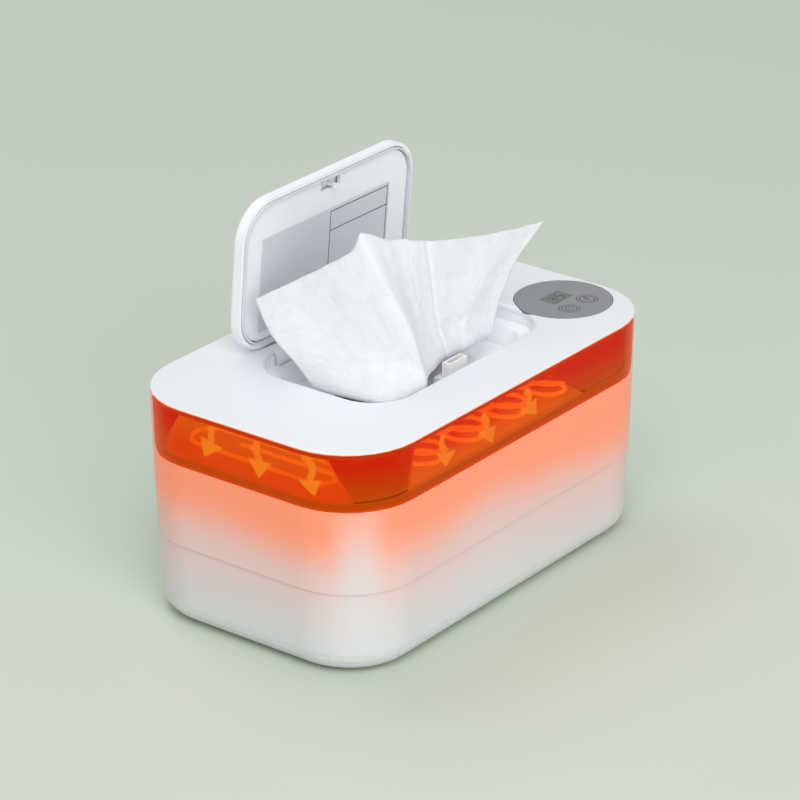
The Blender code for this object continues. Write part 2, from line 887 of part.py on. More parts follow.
def least_self_gap(points, radius, skip):
    """The least clear distance between two stretches of a wire that aren't neighbours."""
    least = math.inf
    for i, first in enumerate(points):
        for second in points[i + skip:]:
            least = min(least, (Vector(first) - Vector(second)).length)
    return least - 2 * radius


def straight_run(start, end, pieces):
    start, end = Vector(start), Vector(end)
    return [start.lerp(end, k / pieces) for k in range(1, pieces + 1)]


def coil_path():
    """The heating wire: flat double loops along the front, then one racetrack loop round the left end."""
    high = body_height - loop_top_drop
    run_y = loop_centre_y + loop_radius
    low = high - loop_turns * loop_drop
    points = [Vector((coil_end_x, run_y, high - coil_tail)), Vector((coil_end_x, run_y, high - loop_drop))]
    points.append(Vector((coil_end_x - loop_drop / 3, run_y, high - loop_drop / 3)))
    points.append(Vector((coil_end_x - loop_drop, run_y, high)))
    for station in range(loop_stations):
        x = first_loop_x - station * loop_pitch
        if station == 0:
            points += straight_run(points[-1], (x, run_y, high), 3)
        total = loop_turns * loop_points
        for step in range(1, total + 1):
            angle = math.pi / 2 + 2 * math.pi * step / loop_points
            points.append(
                Vector(
                    (
                        x + loop_radius * math.cos(angle),
                        loop_centre_y + loop_radius * math.sin(angle),
                        high - loop_drop * step / loop_points,
                    )
                )
            )
        if station < loop_stations - 1:
            points += straight_run((x, run_y, low), (x - loop_pitch, run_y, high), 7)
    bend_x = racetrack_inner_x + turn_radius
    points += straight_run(points[-1], (bend_x, run_y, high - loop_drop / 2), 5)
    bend_y = run_y + turn_radius
    start_z = high - loop_drop / 2
    for step in range(1, 7):
        angle = math.radians(270.0 - 15.0 * step)
        out_x, out_y = turn_radius * math.cos(angle), turn_radius * math.sin(angle)
        points.append(Vector((bend_x + out_x, bend_y + out_y, start_z)))
    centre_x = racetrack_inner_x - racetrack_radius
    length = racetrack_back_y - bend_y
    lap = []
    lap += straight_run((racetrack_inner_x, bend_y, 0), (racetrack_inner_x, racetrack_back_y, 0), 5)
    for step in range(1, 13):
        angle = math.radians(15.0 * step)
        out_x, out_y = racetrack_radius * math.cos(angle), racetrack_radius * math.sin(angle)
        lap.append(Vector((centre_x + out_x, racetrack_back_y + out_y, 0)))
    outer_x = centre_x - racetrack_radius
    lap += straight_run((outer_x, racetrack_back_y, 0), (outer_x, bend_y, 0), 5)
    for step in range(1, 13):
        angle = math.radians(180.0 + 15.0 * step)
        out_x, out_y = racetrack_radius * math.cos(angle), racetrack_radius * math.sin(angle)
        lap.append(Vector((centre_x + out_x, bend_y + out_y, 0)))
    for step, point in enumerate(lap, 1):
        points.append(Vector((point.x, point.y, start_z - loop_drop * step / len(lap))))
    end_z = start_z - loop_drop
    tail_y = bend_y + length * racetrack_tail_share
    points += straight_run(points[-1], (racetrack_inner_x, tail_y, end_z), 5)
    return points


def make_coil():
    path = coil_path()
    tube("heating_coil", path, wire_radius, glowing_wire)
    gap = least_self_gap(path, wire_radius, loop_points // 3)
    print(f"heating coil: least gap to itself {gap * 1000:.2f} mm")
    high = body_height - loop_top_drop
    low = high - loop_turns * loop_drop
    run_y = loop_centre_y + loop_radius
    foot = tray_top_z + fit_gap
    half = holder_width / 2
    for station in range(loop_stations):
        x = first_loop_x - station * loop_pitch
        top = low - wire_radius - fit_gap
        block = box((x - half, run_y - half, foot), (x + half, run_y + half, top))
        place(f"coil_holder_{station + 1}", block, ceramic)
    racetrack_y = racetrack_back_y - half
    outer_x = racetrack_inner_x - 2 * racetrack_radius
    top = high - 2 * loop_drop - wire_radius - fit_gap
    block = box(
        (outer_x - wire_radius / 2, racetrack_y - half, foot),
        (racetrack_inner_x + half, racetrack_y + half, top),
    )
    place("coil_holder_end", block, ceramic)


def make_panel():
    """Control disc, display, keys, and the board with its two switches."""
    low = body_height - disc_thickness
    start, end = (disc_x, disc_y, low), (disc_x, disc_y, body_height)
    disc = place("control_disc", cylinder(start, end, disc_radius, 64), grey)
    half_x, half_y = display_length / 2, display_width / 2
    for key_x in (power_key_x, mode_key_x):
        hole = key_radius + fit_gap
        cut(disc, cylinder((key_x, key_y, low - overrun), (key_x, key_y, body_height + overrun), hole, 32))
    cut(
        disc,
        box(
            (display_x - half_x - fit_gap, display_y - half_y - fit_gap, low - overrun),
            (display_x + half_x + fit_gap, display_y + half_y + fit_gap, body_height + overrun),
        ),
    )
    lens = box(
        (display_x - half_x, display_y - half_y, low),
        (display_x + half_x, display_y + half_y, body_height),
    )
    place("display_lens", lens, clear)
    edge_x, edge_y = half_x + display_frame, half_y + display_frame
    module_top = low - fit_gap
    module = box(
        (display_x - edge_x, display_y - edge_y, module_top - display_depth),
        (display_x + edge_x, display_y + edge_y, module_top),
    )
    place("display_module", module, dark)
    board_z = board_top()
    half = board_size / 2
    board = box(
        (board_x - half, board_y - half, board_z - board_thickness),
        (board_x + half, board_y + half, board_z),
    )
    place("control_board", board, green)
    flange_top = low - fit_gap
    flange_low = flange_top - key_flange_height
    switch_top = flange_low - fit_gap - key_travel - fit_gap
    for name, key_x in (("power", power_key_x), ("mode", mode_key_x)):
        axis = holder_empty(name + "_button_axis", (key_x, key_y, body_height))
        cap = cylinder((key_x, key_y, flange_low), (key_x, key_y, body_height), key_radius, 32)
        key = place(name + "_button", cap, grey, axis)
        flange = cylinder((key_x, key_y, flange_low), (key_x, key_y, flange_top), key_radius + key_flange, 32)
        fuse(key, flange, axis)
        reach = switch_size / 2
        base_z = board_z + fit_gap
        body = box((key_x - reach, key_y - reach, base_z), (key_x + reach, key_y + reach, switch_top))
        place(name + "_switch", body, black)


def make_power_end():
    """Power board on standoffs, with its inductor, capacitor and the socket in the back wall."""
    half_x, half_y = power_board_length / 2, power_board_width / 2
    low = tray_top_z + power_board_lift
    top = low + board_thickness
    board = box(
        (power_board_x - half_x, power_board_y - half_y, low),
        (power_board_x + half_x, power_board_y + half_y, top),
    )
    place("power_board", board, green)
    for number, (share_x, share_y) in enumerate(standoff_place_shares, 1):
        x, y = power_board_x + half_x * share_x, power_board_y + half_y * share_y
        leg = cylinder((x, y, tray_top_z + fit_gap), (x, y, low - fit_gap), standoff_radius, 12)
        place(f"standoff_{number}", leg, white)
    base = top + fit_gap
    x, y = power_board_x + half_x * inductor_place_share, power_board_y
    place("inductor", cylinder((x, y, base), (x, y, base + inductor_height), inductor_radius, 20), copper)
    x = power_board_x + half_x * capacitor_place_share
    place("capacitor", cylinder((x, y, base), (x, y, base + capacitor_height), capacitor_radius, 20), black)
    z = socket_z()
    face = half_width - side_draft_share * (body_height - z)
    reach_x, reach_z = socket_length / 2, socket_height / 2
    socket = place(
        "power_socket",
        box((socket_x - reach_x, face - socket_depth, z - reach_z), (socket_x + reach_x, face, z + reach_z)),
        black,
    )
    bottom, mouth = face - socket_bore_depth, face + overrun
    cut(socket, cylinder((socket_x, bottom, z), (socket_x, mouth, z), socket_bore_radius, 24))
    root, tip = bottom - overrun, face - overrun
    fuse(socket, cylinder((socket_x, root, z), (socket_x, tip, z), socket_pin_radius, 12))
    x, y, base = thermostat_x, thermostat_y, tray_top_z + fit_gap
    can = cylinder((x, y, base), (x, y, base + thermostat_height), thermostat_radius, 20)
    place("thermostat", can, black)


def make_leads():
    """Leads from the power board to the coil's end and to the control board."""
    z = tray_top_z + fit_gap + lead_radius
    board_end = (power_board_x - power_board_length / 2, power_board_y)
    back_y = pivot_y + barrel_radius + 2 * bay_wall
    coil_end = (racetrack_inner_x, racetrack_back_y + 2 * racetrack_radius)
    run = [
        (board_end[0] - 2 * lead_radius, board_end[1], z + power_board_lift),
        (board_end[0] - 3 * lead_radius, back_y - racetrack_radius, z + lead_radius),
        (board_end[0] - 2 * racetrack_radius, back_y, z),
        (lid_centre_x, back_y, z),
        (coil_end[0] + 4 * racetrack_radius, back_y, z),
        (coil_end[0] + 2 * racetrack_radius, back_y - racetrack_radius, z),
        (coil_end[0], coil_end[1], z),
    ]
    tube("coil_lead", smooth_path(run, lead_points), lead_radius, red_wire)
    x = board_x - board_size / 2 + bay_wall + 3 * lead_radius
    y = board_y + board_size * lead_drop_share
    edge_y = power_board_y - power_board_width / 2
    top = board_top() - board_thickness - fit_gap
    run = [
        (power_board_x, edge_y - 2 * lead_radius, z + power_board_lift),
        (power_board_x, edge_y - 4 * lead_radius, z + power_board_lift / 2),
        (power_board_x, (edge_y + y) / 2, z),
        (x, y + 4 * lead_radius, z + 4 * lead_radius),
        (x, y, (z + top) / 2),
        (x, y, top - lead_radius),
    ]
    tube("control_lead", smooth_path(run, lead_points), lead_radius, red_wire)


def smooth_path(places, count):
    """Points along a smooth curve through some places."""
    spots = [Vector(spot) for spot in places]
    return [curve_through(spots, k / count) for k in range(count + 1)]


def lid_ring(z, inset=0.0):
    """The lid's outline at a height, in its closed place."""
    radii = (lid_radius, lid_radius)
    return rounded(lid_half_length, lid_half_width, radii, z, (lid_centre_x, lid_centre_y), inset)


def make_lid():
    """The lid in its closed place, turned open about the hinge at the end."""
    hinge = holder_empty("lid_hinge_axis", (lid_centre_x, pivot_y, pivot_z))
    ceiling = lid_top_z - lid_skin
    rings = []
    for out, up in quarter_steps(3):
        rings.append(lid_ring(lid_top_z - lid_edge_radius * up, lid_edge_radius * out))
    rings.append(lid_ring(lid_rim_z))
    rings.append(lid_ring(lid_rim_z, lid_wall))
    rings.append(lid_ring(ceiling, lid_wall))
    shell = place("lid_shell", loft(rings), white, hinge)
    x, y, z, half = lid_centre_x, pivot_y, pivot_z, barrel_half_length
    tongue = box((x - half, lid_back - lid_wall / 2, ceiling), (x + half, y, lid_top_z))
    fuse(shell, tongue, hinge)
    fuse(shell, cylinder((x - half, y, z), (x + half, y, z), barrel_radius, 40), hinge)
    end = half + overrun
    cut(shell, cylinder((x - end, y, z), (x + end, y, z), pin_radius + pin_clearance, 16), hinge)
    gap = spring_slot_half_length
    bay = box(
        (x - gap, lid_back + lid_wall / 4, z - 2 * barrel_radius),
        (x + gap, y + 2 * barrel_radius, ceiling - fit_gap),
    )
    cut(shell, bay, hinge)

    seal_in = lid_wall + fit_gap
    seal_low = recess_floor_z + seal_gap
    seal_top = ceiling - fit_gap
    rings = [
        lid_ring(seal_low, seal_in),
        lid_ring(seal_top, seal_in),
        lid_ring(seal_top, seal_in + seal_width),
        lid_ring(seal_low, seal_in + seal_width),
    ]
    place("lid_seal", loft(rings, loop=True), frosted, hinge)

    liner_in = seal_in + seal_width + fit_gap
    liner_top = ceiling - fit_gap
    floor = liner_z + liner_skin
    rings = []
    for out, up in quarter_steps(2):
        rings.append(lid_ring(liner_z + liner_edge_radius * up, liner_in + liner_edge_radius * out))
    rings.append(lid_ring(liner_top, liner_in))
    rings.append(lid_ring(liner_top, liner_in + liner_wall))
    rings.append(lid_ring(floor, liner_in + liner_wall))
    liner = place("lid_liner", loft(rings), white, hinge)
    x_reach = cartridge_length / 2 + fit_gap
    notch = box(
        (x - x_reach, -lid_front, liner_z - overrun),
        (x + x_reach, latch_y + cartridge_width / 2 + fit_gap, ceiling),
    )
    cut(liner, notch, hinge)

    label_x = x + label_shift_x
    label_top = liner_z - fit_gap
    label = box(
        (label_x - label_length / 2, -label_front, label_top - label_thickness),
        (label_x + label_length / 2, -label_front + label_width, label_top),
    )
    place("lid_label", label, silver, hinge)

    base_low = ceiling - fit_gap - strike_base_height
    half_base, half_y = strike_base_length / 2, jaw_width / 2
    strike = place(
        "latch_strike",
        box((x - half_base, latch_y - half_y, base_low), (x + half_base, latch_y + half_y, liner_top)),
        cream,
        hinge,
    )
    tip = base_low - strike_drop
    head_top = tip + strike_head_height
    half_neck, root = strike_neck / 2, base_low + strike_base_height / 2
    neck = box((x - half_neck, latch_y - half_y, tip + overrun / 2), (x + half_neck, latch_y + half_y, root))
    fuse(strike, neck, hinge)
    fuse(strike, arrow_head(x, latch_y, half_y, tip, head_top), hinge)
    hinge.rotation_euler = (-lid_open_angle, 0, 0)


def arrow_head(x, y, half_y, tip, top):
    """The strike's head: a wedge that parts the jaws."""
    rings = []
    for side in (-half_y, half_y):
        rings.append(
            [
                (x - strike_head / 2, y + side, top),
                (x + strike_head / 2, y + side, top),
                (x + strike_neck / 4, y + side, tip),
                (x - strike_neck / 4, y + side, tip),
            ]
        )
    return loft(rings)


def make_hinge_pin():
    reach = barrel_half_length + bay_end_gap + bay_wall - 2 * fit_gap
    start = (lid_centre_x - reach, pivot_y, pivot_z)
    end = (lid_centre_x + reach, pivot_y, pivot_z)
    place("hinge_pin", cylinder(start, end, pin_radius, 16), steel)


def make_lid_spring():
    """The torsion spring round the pin: one leg up behind the lid, the other on the bay's front wall."""
    radius = lid_spring_radius
    length = lid_spring_turns * lid_spring_pitch
    start_x = lid_centre_x - length / 2
    first = math.pi / 2 - lid_open_angle
    points = []
    up = Vector((0, -math.cos(lid_open_angle), math.sin(lid_open_angle)))
    across = Vector((0, math.sin(lid_open_angle), math.cos(lid_open_angle)))
    centre = Vector((start_x, pivot_y, pivot_z))
    points.append(centre + across * radius + up * lid_spring_leg)
    points.append(centre + across * radius + up * lid_spring_leg / 2)
    total = lid_spring_turns * spring_points
    sweep = 2 * math.pi * lid_spring_turns + (math.pi - lid_open_angle)
    for step in range(total + 1):
        angle = first - sweep * step / total
        x = start_x + length * step / total
        points.append(
            Vector((x, pivot_y + radius * math.cos(angle), pivot_z + radius * math.sin(angle)))
        )
    last = points[-1]
    spin = (points[-1] - points[-2]).normalized()
    spin.x = 0
    points.append(last + spin * lid_spring_leg / 3)
    gap = least_self_gap(points, lid_spring_wire, spring_points // 2)
    print(f"lid spring: least gap to itself {gap * 1000:.2f} mm")
    tube("lid_spring", points, lid_spring_wire, steel)


def make_latch():
    """The touch latch: housing in the ledge, a sprung cartridge, and two jaws that close as it goes down."""
    top = body_height - cartridge_top_drop
    bottom = top - cartridge_height
    base = recess_floor_z - latch_depth
    outer = fit_gap + latch_wall
    housing = place("latch_housing", latch_box(outer, base, recess_floor_z), white)
    cut(housing, latch_box(fit_gap, base + latch_wall, recess_floor_z + overrun))
    axis = holder_empty("latch_axis", (lid_centre_x, latch_y, bottom))
    cartridge = place("latch_cartridge", latch_box(0.0, bottom, top), cream, axis)
    x, y = lid_centre_x, latch_y
    half_mouth, half_slot = cartridge_mouth / 2, cartridge_slot_width / 2
    floor = bottom + cartridge_floor
    cut(
        cartridge,
        box((x - half_mouth, y - half_slot, floor), (x + half_mouth, y + half_slot, top + overrun)),
        axis,
    )
    pivot_height = floor + jaw_thickness
    for side in (-1, 1):
        pin_x = x + side * jaw_offset
        reach = cartridge_width / 2 + overrun
        start, end = (pin_x, y - reach, pivot_height), (pin_x, y + reach, pivot_height)
        cut(cartridge, cylinder(start, end, jaw_pin_radius + fit_gap, 12), axis)
    half_jaw, half_width_jaw = jaw_thickness / 2, jaw_width / 2
    for name, side in (("jaw_left", -1), ("jaw_right", 1)):
        pin_x = x + side * jaw_offset
        pivot = holder_empty(name + "_axis", (pin_x, y, pivot_height))
        low, high = pivot_height - half_jaw, pivot_height - half_jaw + jaw_height
        jaw = place(
            name,
            box((pin_x - half_jaw, y - half_width_jaw, low), (pin_x + half_jaw, y + half_width_jaw, high)),
            cream,
            pivot,
        )
        inner = pin_x - side * (half_jaw + jaw_hook)
        edges = sorted((inner, pin_x))
        hook = box(
            (edges[0], y - half_width_jaw, high - jaw_hook_height), (edges[1], y + half_width_jaw, high)
        )
        fuse(jaw, hook, pivot)
        reach = cartridge_width / 2 - fit_gap
        pin = cylinder((pin_x, y - reach, pivot_height), (pin_x, y + reach, pivot_height), jaw_pin_radius, 10)
        fuse(jaw, pin, pivot)
        pivot.rotation_euler = (0, side * jaw_open_angle, 0)
    spring_low = base + latch_wall + fit_gap + latch_spring_wire
    spring_high = bottom - fit_gap - latch_spring_wire
    total = latch_spring_turns * spring_points
    points = []
    for step in range(total + 1):
        angle = 2 * math.pi * step / spring_points
        points.append(
            Vector(
                (
                    x + latch_spring_radius * math.cos(angle),
                    y + latch_spring_radius * math.sin(angle),
                    spring_low + (spring_high - spring_low) * step / total,
                )
            )
        )
    gap = least_self_gap(points, latch_spring_wire, spring_points // 2)
    print(f"latch spring: least gap to itself {gap * 1000:.2f} mm")
    tube("latch_spring", points, latch_spring_wire, steel)


# The pulled wipe, from the stack up to its top edge. Each place is a share of the wipe's reach from the
# slot's centre, sideways and across, and of its rise over the slot. A row runs from the left tip over the
# fold and the crease beside it to the right tip.
wipe_row_shares = (
    (
        (-0.36, 0.00, -0.39), (-0.25, 0.04, -0.39), (-0.17, -0.02, -0.39), (-0.07, 0.03, -0.39),
        (0.07, -0.02, -0.39), (0.17, 0.03, -0.39), (0.31, -0.01, -0.39),
    ),
    (
        (-0.41, 0.00, -0.16), (-0.31, 0.04, -0.16), (-0.21, -0.02, -0.16), (-0.08, 0.04, -0.16),
        (0.07, -0.02, -0.16), (0.20, 0.03, -0.16), (0.33, -0.01, -0.16),
    ),
    (
        (-0.48, 0.02, -0.04), (-0.40, 0.04, -0.04), (-0.29, -0.03, -0.04), (-0.12, 0.01, -0.04),
        (0.04, -0.03, -0.04), (0.20, 0.02, -0.04), (0.39, -0.02, -0.04),
    ),
    (
        (-0.51, 0.03, 0.02), (-0.41, 0.02, 0.02), (-0.31, -0.05, 0.02), (-0.12, -0.03, 0.02),
        (0.05, -0.04, 0.02), (0.21, -0.01, 0.02), (0.40, -0.03, 0.02),
    ),
    (
        (-0.67, 0.06, 0.12), (-0.53, -0.14, 0.12), (-0.40, -0.39, 0.12), (-0.11, -0.30, 0.12),
        (0.07, -0.28, 0.12), (0.23, -0.29, 0.12), (0.41, -0.29, 0.12),
    ),
    (
        (-0.70, 0.16, 0.24), (-0.55, -0.10, 0.28), (-0.39, -0.39, 0.27), (-0.15, -0.28, 0.30),
        (0.05, -0.26, 0.30), (0.27, -0.28, 0.30), (0.52, -0.29, 0.30),
    ),
    (
        (-0.72, 0.31, 0.38), (-0.56, -0.02, 0.49), (-0.41, -0.32, 0.51), (-0.17, -0.24, 0.49),
        (0.04, -0.24, 0.47), (0.33, -0.28, 0.45), (0.69, -0.29, 0.50),
    ),
    (
        (-0.73, 0.42, 0.51), (-0.60, 0.16, 0.78), (-0.46, -0.10, 0.97), (-0.19, -0.16, 0.88),
        (0.03, -0.21, 0.81), (0.57, -0.26, 0.70), (0.96, -0.29, 0.65),
    ),
)


def curve_through(points, along):
    """The place on a smooth curve through some points, at a share of its length in spans."""
    spans = len(points) - 1
    i = min(int(along * spans), spans - 1)
    t = along * spans - i
    spots = [2 * points[0] - points[1]] + points + [2 * points[-1] - points[-2]]
    a, b, c, d = spots[i:i + 4]
    return (2 * b + (c - a) * t + (2 * a - 5 * b + 4 * c - d) * t**2 + (3 * b - a - 3 * c + d) * t**3) / 2


def make_pulled_wipe():
    """The wipe drawn up out of the slot: a folded sheet given its thickness by Solidify."""
    centre = Vector((lid_centre_x, recess_centre_y, dish_z))
    size = Vector((wipe_reach, wipe_reach, wipe_rise))
    rows = [
        [centre + Vector(a * b for a, b in zip(shares, size)) for shares in row] for row in wipe_row_shares
    ]
    builder = bmesh.new()
    grid = []
    for i in range(wipe_columns + 1):
        column = [curve_through(row, i / wipe_columns) for row in rows]
        grid.append([builder.verts.new(curve_through(column, k / wipe_rows)) for k in range(wipe_rows + 1)])
    for i in range(wipe_columns):
        for k in range(wipe_rows):
            builder.faces.new((grid[i][k], grid[i + 1][k], grid[i + 1][k + 1], grid[i][k + 1]))
    wipe = place("pulled_wipe", finished(builder), tissue, smooth_angle=80.0)
    thickness = wipe.modifiers.new("thickness", "SOLIDIFY")
    thickness.thickness = wipe_thickness
    thickness.offset = 0.0
    thickness.use_even_offset = True


def make_wipes():
    """The stack in the tub, and the wipe that stands out of the slot."""
    radii = (stack_radius, stack_radius)
    rings = []
    top = stack_base_z + stack_height

    def ring(z, inset):
        rings.append(rounded(stack_half_length, stack_half_width, radii, z, inset=inset, steps=4))

    for out, up in quarter_steps(2):
        ring(stack_base_z + stack_edge_radius * up, stack_edge_radius * out)
    for out, up in reversed(list(quarter_steps(2))):
        ring(top - stack_edge_radius * up, stack_edge_radius * out)
    place("wipe_stack", loft(rings), tissue)


make_tub()
make_skirt()
make_cover()
make_basin()
make_window()
make_diffusers()
make_dispenser()
make_tray()
make_coil()
make_panel()
make_power_end()
make_leads()
make_hinge_pin()
make_lid_spring()
make_latch()
make_lid()
make_wipes()
make_pulled_wipe()
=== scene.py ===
import math

import bmesh
import bpy
from mathutils import Matrix, Vector, noise


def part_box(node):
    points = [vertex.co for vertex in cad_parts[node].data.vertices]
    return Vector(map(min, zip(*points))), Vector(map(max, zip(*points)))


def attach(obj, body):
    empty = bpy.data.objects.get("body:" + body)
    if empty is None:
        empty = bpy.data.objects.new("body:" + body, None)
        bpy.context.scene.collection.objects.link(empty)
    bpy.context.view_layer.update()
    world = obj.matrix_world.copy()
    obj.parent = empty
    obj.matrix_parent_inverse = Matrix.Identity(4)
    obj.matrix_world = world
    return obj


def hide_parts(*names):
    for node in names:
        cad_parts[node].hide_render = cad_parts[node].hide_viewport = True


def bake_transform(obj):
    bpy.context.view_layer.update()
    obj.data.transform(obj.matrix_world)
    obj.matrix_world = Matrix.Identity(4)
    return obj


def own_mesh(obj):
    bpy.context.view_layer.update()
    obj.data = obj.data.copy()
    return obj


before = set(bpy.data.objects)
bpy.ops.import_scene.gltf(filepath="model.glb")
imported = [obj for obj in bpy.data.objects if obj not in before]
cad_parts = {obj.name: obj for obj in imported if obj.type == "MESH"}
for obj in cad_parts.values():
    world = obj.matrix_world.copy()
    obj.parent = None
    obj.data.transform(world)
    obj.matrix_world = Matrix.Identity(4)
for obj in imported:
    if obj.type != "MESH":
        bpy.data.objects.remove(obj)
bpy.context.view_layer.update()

# Studio. A long lens looks down on the warmer's front left corner, as in the photograph.
# The warmer stands on a plain pale floor, under one large soft panel from the left, a fill panel
# from the right, a panel behind it and a dim sky.
camera_place = Vector((-1.15468, -0.89351, 0.72847))
azimuth, elevation, roll = (math.radians(angle) for angle in (-52.303, 24.154, -0.241))
right = Vector((math.cos(azimuth), math.sin(azimuth), 0.0))
backward = Vector(
    (math.sin(azimuth) * math.cos(elevation), -math.cos(azimuth) * math.cos(elevation), math.sin(elevation))
)
up = backward.cross(right)
camera_x = right * math.cos(roll) + up * math.sin(roll)
camera_y = up * math.cos(roll) - right * math.sin(roll)
long_lens = bpy.data.cameras.new("photo_camera")
long_lens.sensor_width = 36.0
long_lens.lens = 174.72
camera = bpy.data.objects.new("photo_camera", long_lens)
camera_turn = Matrix((camera_x, camera_y, backward)).transposed().to_4x4()
camera.matrix_world = Matrix.Translation(camera_place) @ camera_turn
bpy.context.scene.collection.objects.link(camera)
bpy.context.scene.camera = camera
bpy.context.scene.view_settings.view_transform = "Standard"
panels_aim = Vector((0.0, 0.0, 0.06))


def soft_panel(name, place, size, watts, colour):
    """A square studio panel that shines on the warmer from a place."""
    light = bpy.data.lights.new(name, "AREA")
    light.shape = "SQUARE"
    light.size = size
    light.energy = watts
    light.color = colour
    panel = bpy.data.objects.new(name, light)
    panel.location = place
    panel.rotation_euler = (panels_aim - Vector(place)).to_track_quat("-Z", "Y").to_euler()
    bpy.context.scene.collection.objects.link(panel)


soft_panel("key_panel", (-1.1, -0.9, 1.9), 1.3, 19.0, (1.0, 0.985, 0.97))
soft_panel("fill_panel", (-0.95, -1.65, 0.75), 1.5, 17.0, (0.95, 0.98, 1.0))
soft_panel("back_panel", (0.2, 0.9, 1.8), 1.2, 9.0, (0.97, 0.98, 1.0))
sky = bpy.data.worlds.new("studio_sky")
sky.use_nodes = True
sky_light = sky.node_tree.nodes["Background"]
sky_light.inputs["Color"].default_value = (0.93, 0.96, 1.0, 1.0)
sky_light.inputs["Strength"].default_value = 0.5
bpy.context.scene.world = sky


def add_node(tree, kind, values=None, **settings):
    """A node of a tree with its settings, and its inputs given as values or as sockets to link."""
    made = tree.nodes.new(kind)
    for name, value in settings.items():
        setattr(made, name, value)
    feed(tree, made, values or {})
    return made


def feed(tree, node, values):
    """Sets a node's inputs to values, or links sockets to them."""
    for key, value in values.items():
        if isinstance(value, bpy.types.NodeSocket):
            tree.links.new(value, node.inputs[key])
        else:
            node.inputs[key].default_value = value


def calc(tree, operation, *values):
    """A Math node's result."""
    return add_node(tree, "ShaderNodeMath", dict(enumerate(values)), operation=operation).outputs[0]


def product(tree, *values):
    """Several values multiplied."""
    total = values[0]
    for value in values[1:]:
        total = calc(tree, "MULTIPLY", total, value)
    return total


def mixed(tree, share, first, second, mode="MIX"):
    """The colour between two, by a share."""
    values = {0: share, 6: first, 7: second}
    return add_node(tree, "ShaderNodeMix", values, data_type="RGBA", blend_type=mode).outputs[2]


def ramp(tree, value, low, high, start=0.0, end=1.0):
    """A value carried smoothly from one range to another, and held at its ends."""
    values = {0: value, 1: low, 2: high, 3: start, 4: end}
    return add_node(tree, "ShaderNodeMapRange", values, interpolation_type="SMOOTHSTEP").outputs[0]


def noise_at(tree, vector, scale, detail=2.0, roughness=0.5):
    """A noise value over a vector."""
    values = {"Vector": vector, "Scale": scale, "Detail": detail, "Roughness": roughness}
    return add_node(tree, "ShaderNodeTexNoise", values).outputs["Fac"]


def new_finish(name):
    """A material, its node tree, its Principled shader and its object coordinates."""
    material = bpy.data.materials.new(name)
    material.use_nodes = True
    tree = material.node_tree
    where = add_node(tree, "ShaderNodeTexCoord").outputs["Object"]
    return material, tree, tree.nodes["Principled BSDF"], where


def bump(tree, shader, height, distance, strength=0.6, **others):
    """Feeds a shader's normal with a bump, whose height is in the given distance."""
    values = {"Height": height, "Distance": distance, "Strength": strength, **others}
    tree.links.new(add_node(tree, "ShaderNodeBump", values).outputs["Normal"], shader.inputs["Normal"])


def mesh_object(name, builder):
    """A new object from a mesh builder."""
    mesh = bpy.data.meshes.new(name)
    builder.to_mesh(mesh)
    builder.free()
    made = bpy.data.objects.new(name, mesh)
    bpy.context.scene.collection.objects.link(made)
    return made


floor_squares, floor_reach = 8, 7.0
floor_builder = bmesh.new()
bmesh.ops.create_grid(floor_builder, x_segments=floor_squares, y_segments=floor_squares, size=floor_reach)
studio_floor = mesh_object("studio_floor", floor_builder)
pale_floor, tree, shader, where = new_finish("pale_floor")
mottle = noise_at(tree, where, 3.0, 3.0)
floor_colour = mixed(tree, mottle, (0.60, 0.66, 0.545, 1.0), (0.625, 0.685, 0.57, 1.0))
feed(tree, shader, {"Base Color": floor_colour, "Roughness": 0.6, "Specular IOR Level": 0.25})
studio_floor.data.materials.append(pale_floor)

# Tub. The lower container is injection moulded in white ABS with a fine spark-eroded skin.
# Its wall carries a painted glow of the heater light, faintly salmon towards its top.


def new_group(name, inputs, outputs):
    """An empty shader group with named sockets, and its input and output nodes' sockets."""
    group = bpy.data.node_groups.new(name, "ShaderNodeTree")
    for socket_name, kind, value in inputs:
        socket = group.interface.new_socket(name=socket_name, in_out="INPUT", socket_type=kind)
        socket.default_value = value
    for socket_name, kind in outputs:
        group.interface.new_socket(name=socket_name, in_out="OUTPUT", socket_type=kind)
    return group, group.nodes.new("NodeGroupInput").outputs, group.nodes.new("NodeGroupOutput")


def use_group(tree, group, values):
    """A group placed in a tree with its own values."""
    placed = add_node(tree, "ShaderNodeGroup", node_tree=group)
    feed(tree, placed, values)
    return placed.outputs


place_socket = ("Place", "NodeSocketVector", (0.0, 0.0, 0.0))
mould_skin, given, result = new_group(
    "mould_skin",
    (
        place_socket,
        ("Colour", "NodeSocketColor", (0.8, 0.8, 0.8, 1.0)),
        ("Shade", "NodeSocketFloat", 0.15),
        ("Grain", "NodeSocketFloat", 2600.0),
        ("Gloss", "NodeSocketFloat", 0.4),
    ),
    (("Colour", "NodeSocketColor"), ("Roughness", "NodeSocketFloat"), ("Height", "NodeSocketFloat")),
)
cloud = noise_at(mould_skin, given["Place"], 22.0, 3.0)
speck = noise_at(mould_skin, given["Place"], 420.0, 2.0)
pits = noise_at(mould_skin, given["Place"], given["Grain"], 1.0)
darker = mixed(mould_skin, 1.0, given["Colour"], (0.82, 0.83, 0.86, 1.0), "MULTIPLY")
both = calc(mould_skin, "ADD", cloud, product(mould_skin, speck, 0.4))
rough = calc(mould_skin, "MULTIPLY_ADD", calc(mould_skin, "SUBTRACT", cloud, 0.5), 0.22, given["Gloss"])
feed(mould_skin, result, {
    "Colour": mixed(mould_skin, product(mould_skin, both, given["Shade"]), given["Colour"], darker),
    "Roughness": calc(mould_skin, "MULTIPLY_ADD", calc(mould_skin, "SUBTRACT", pits, 0.5), 0.1, rough),
    "Height": calc(mould_skin, "MULTIPLY_ADD", cloud, 6.0, pits),
})
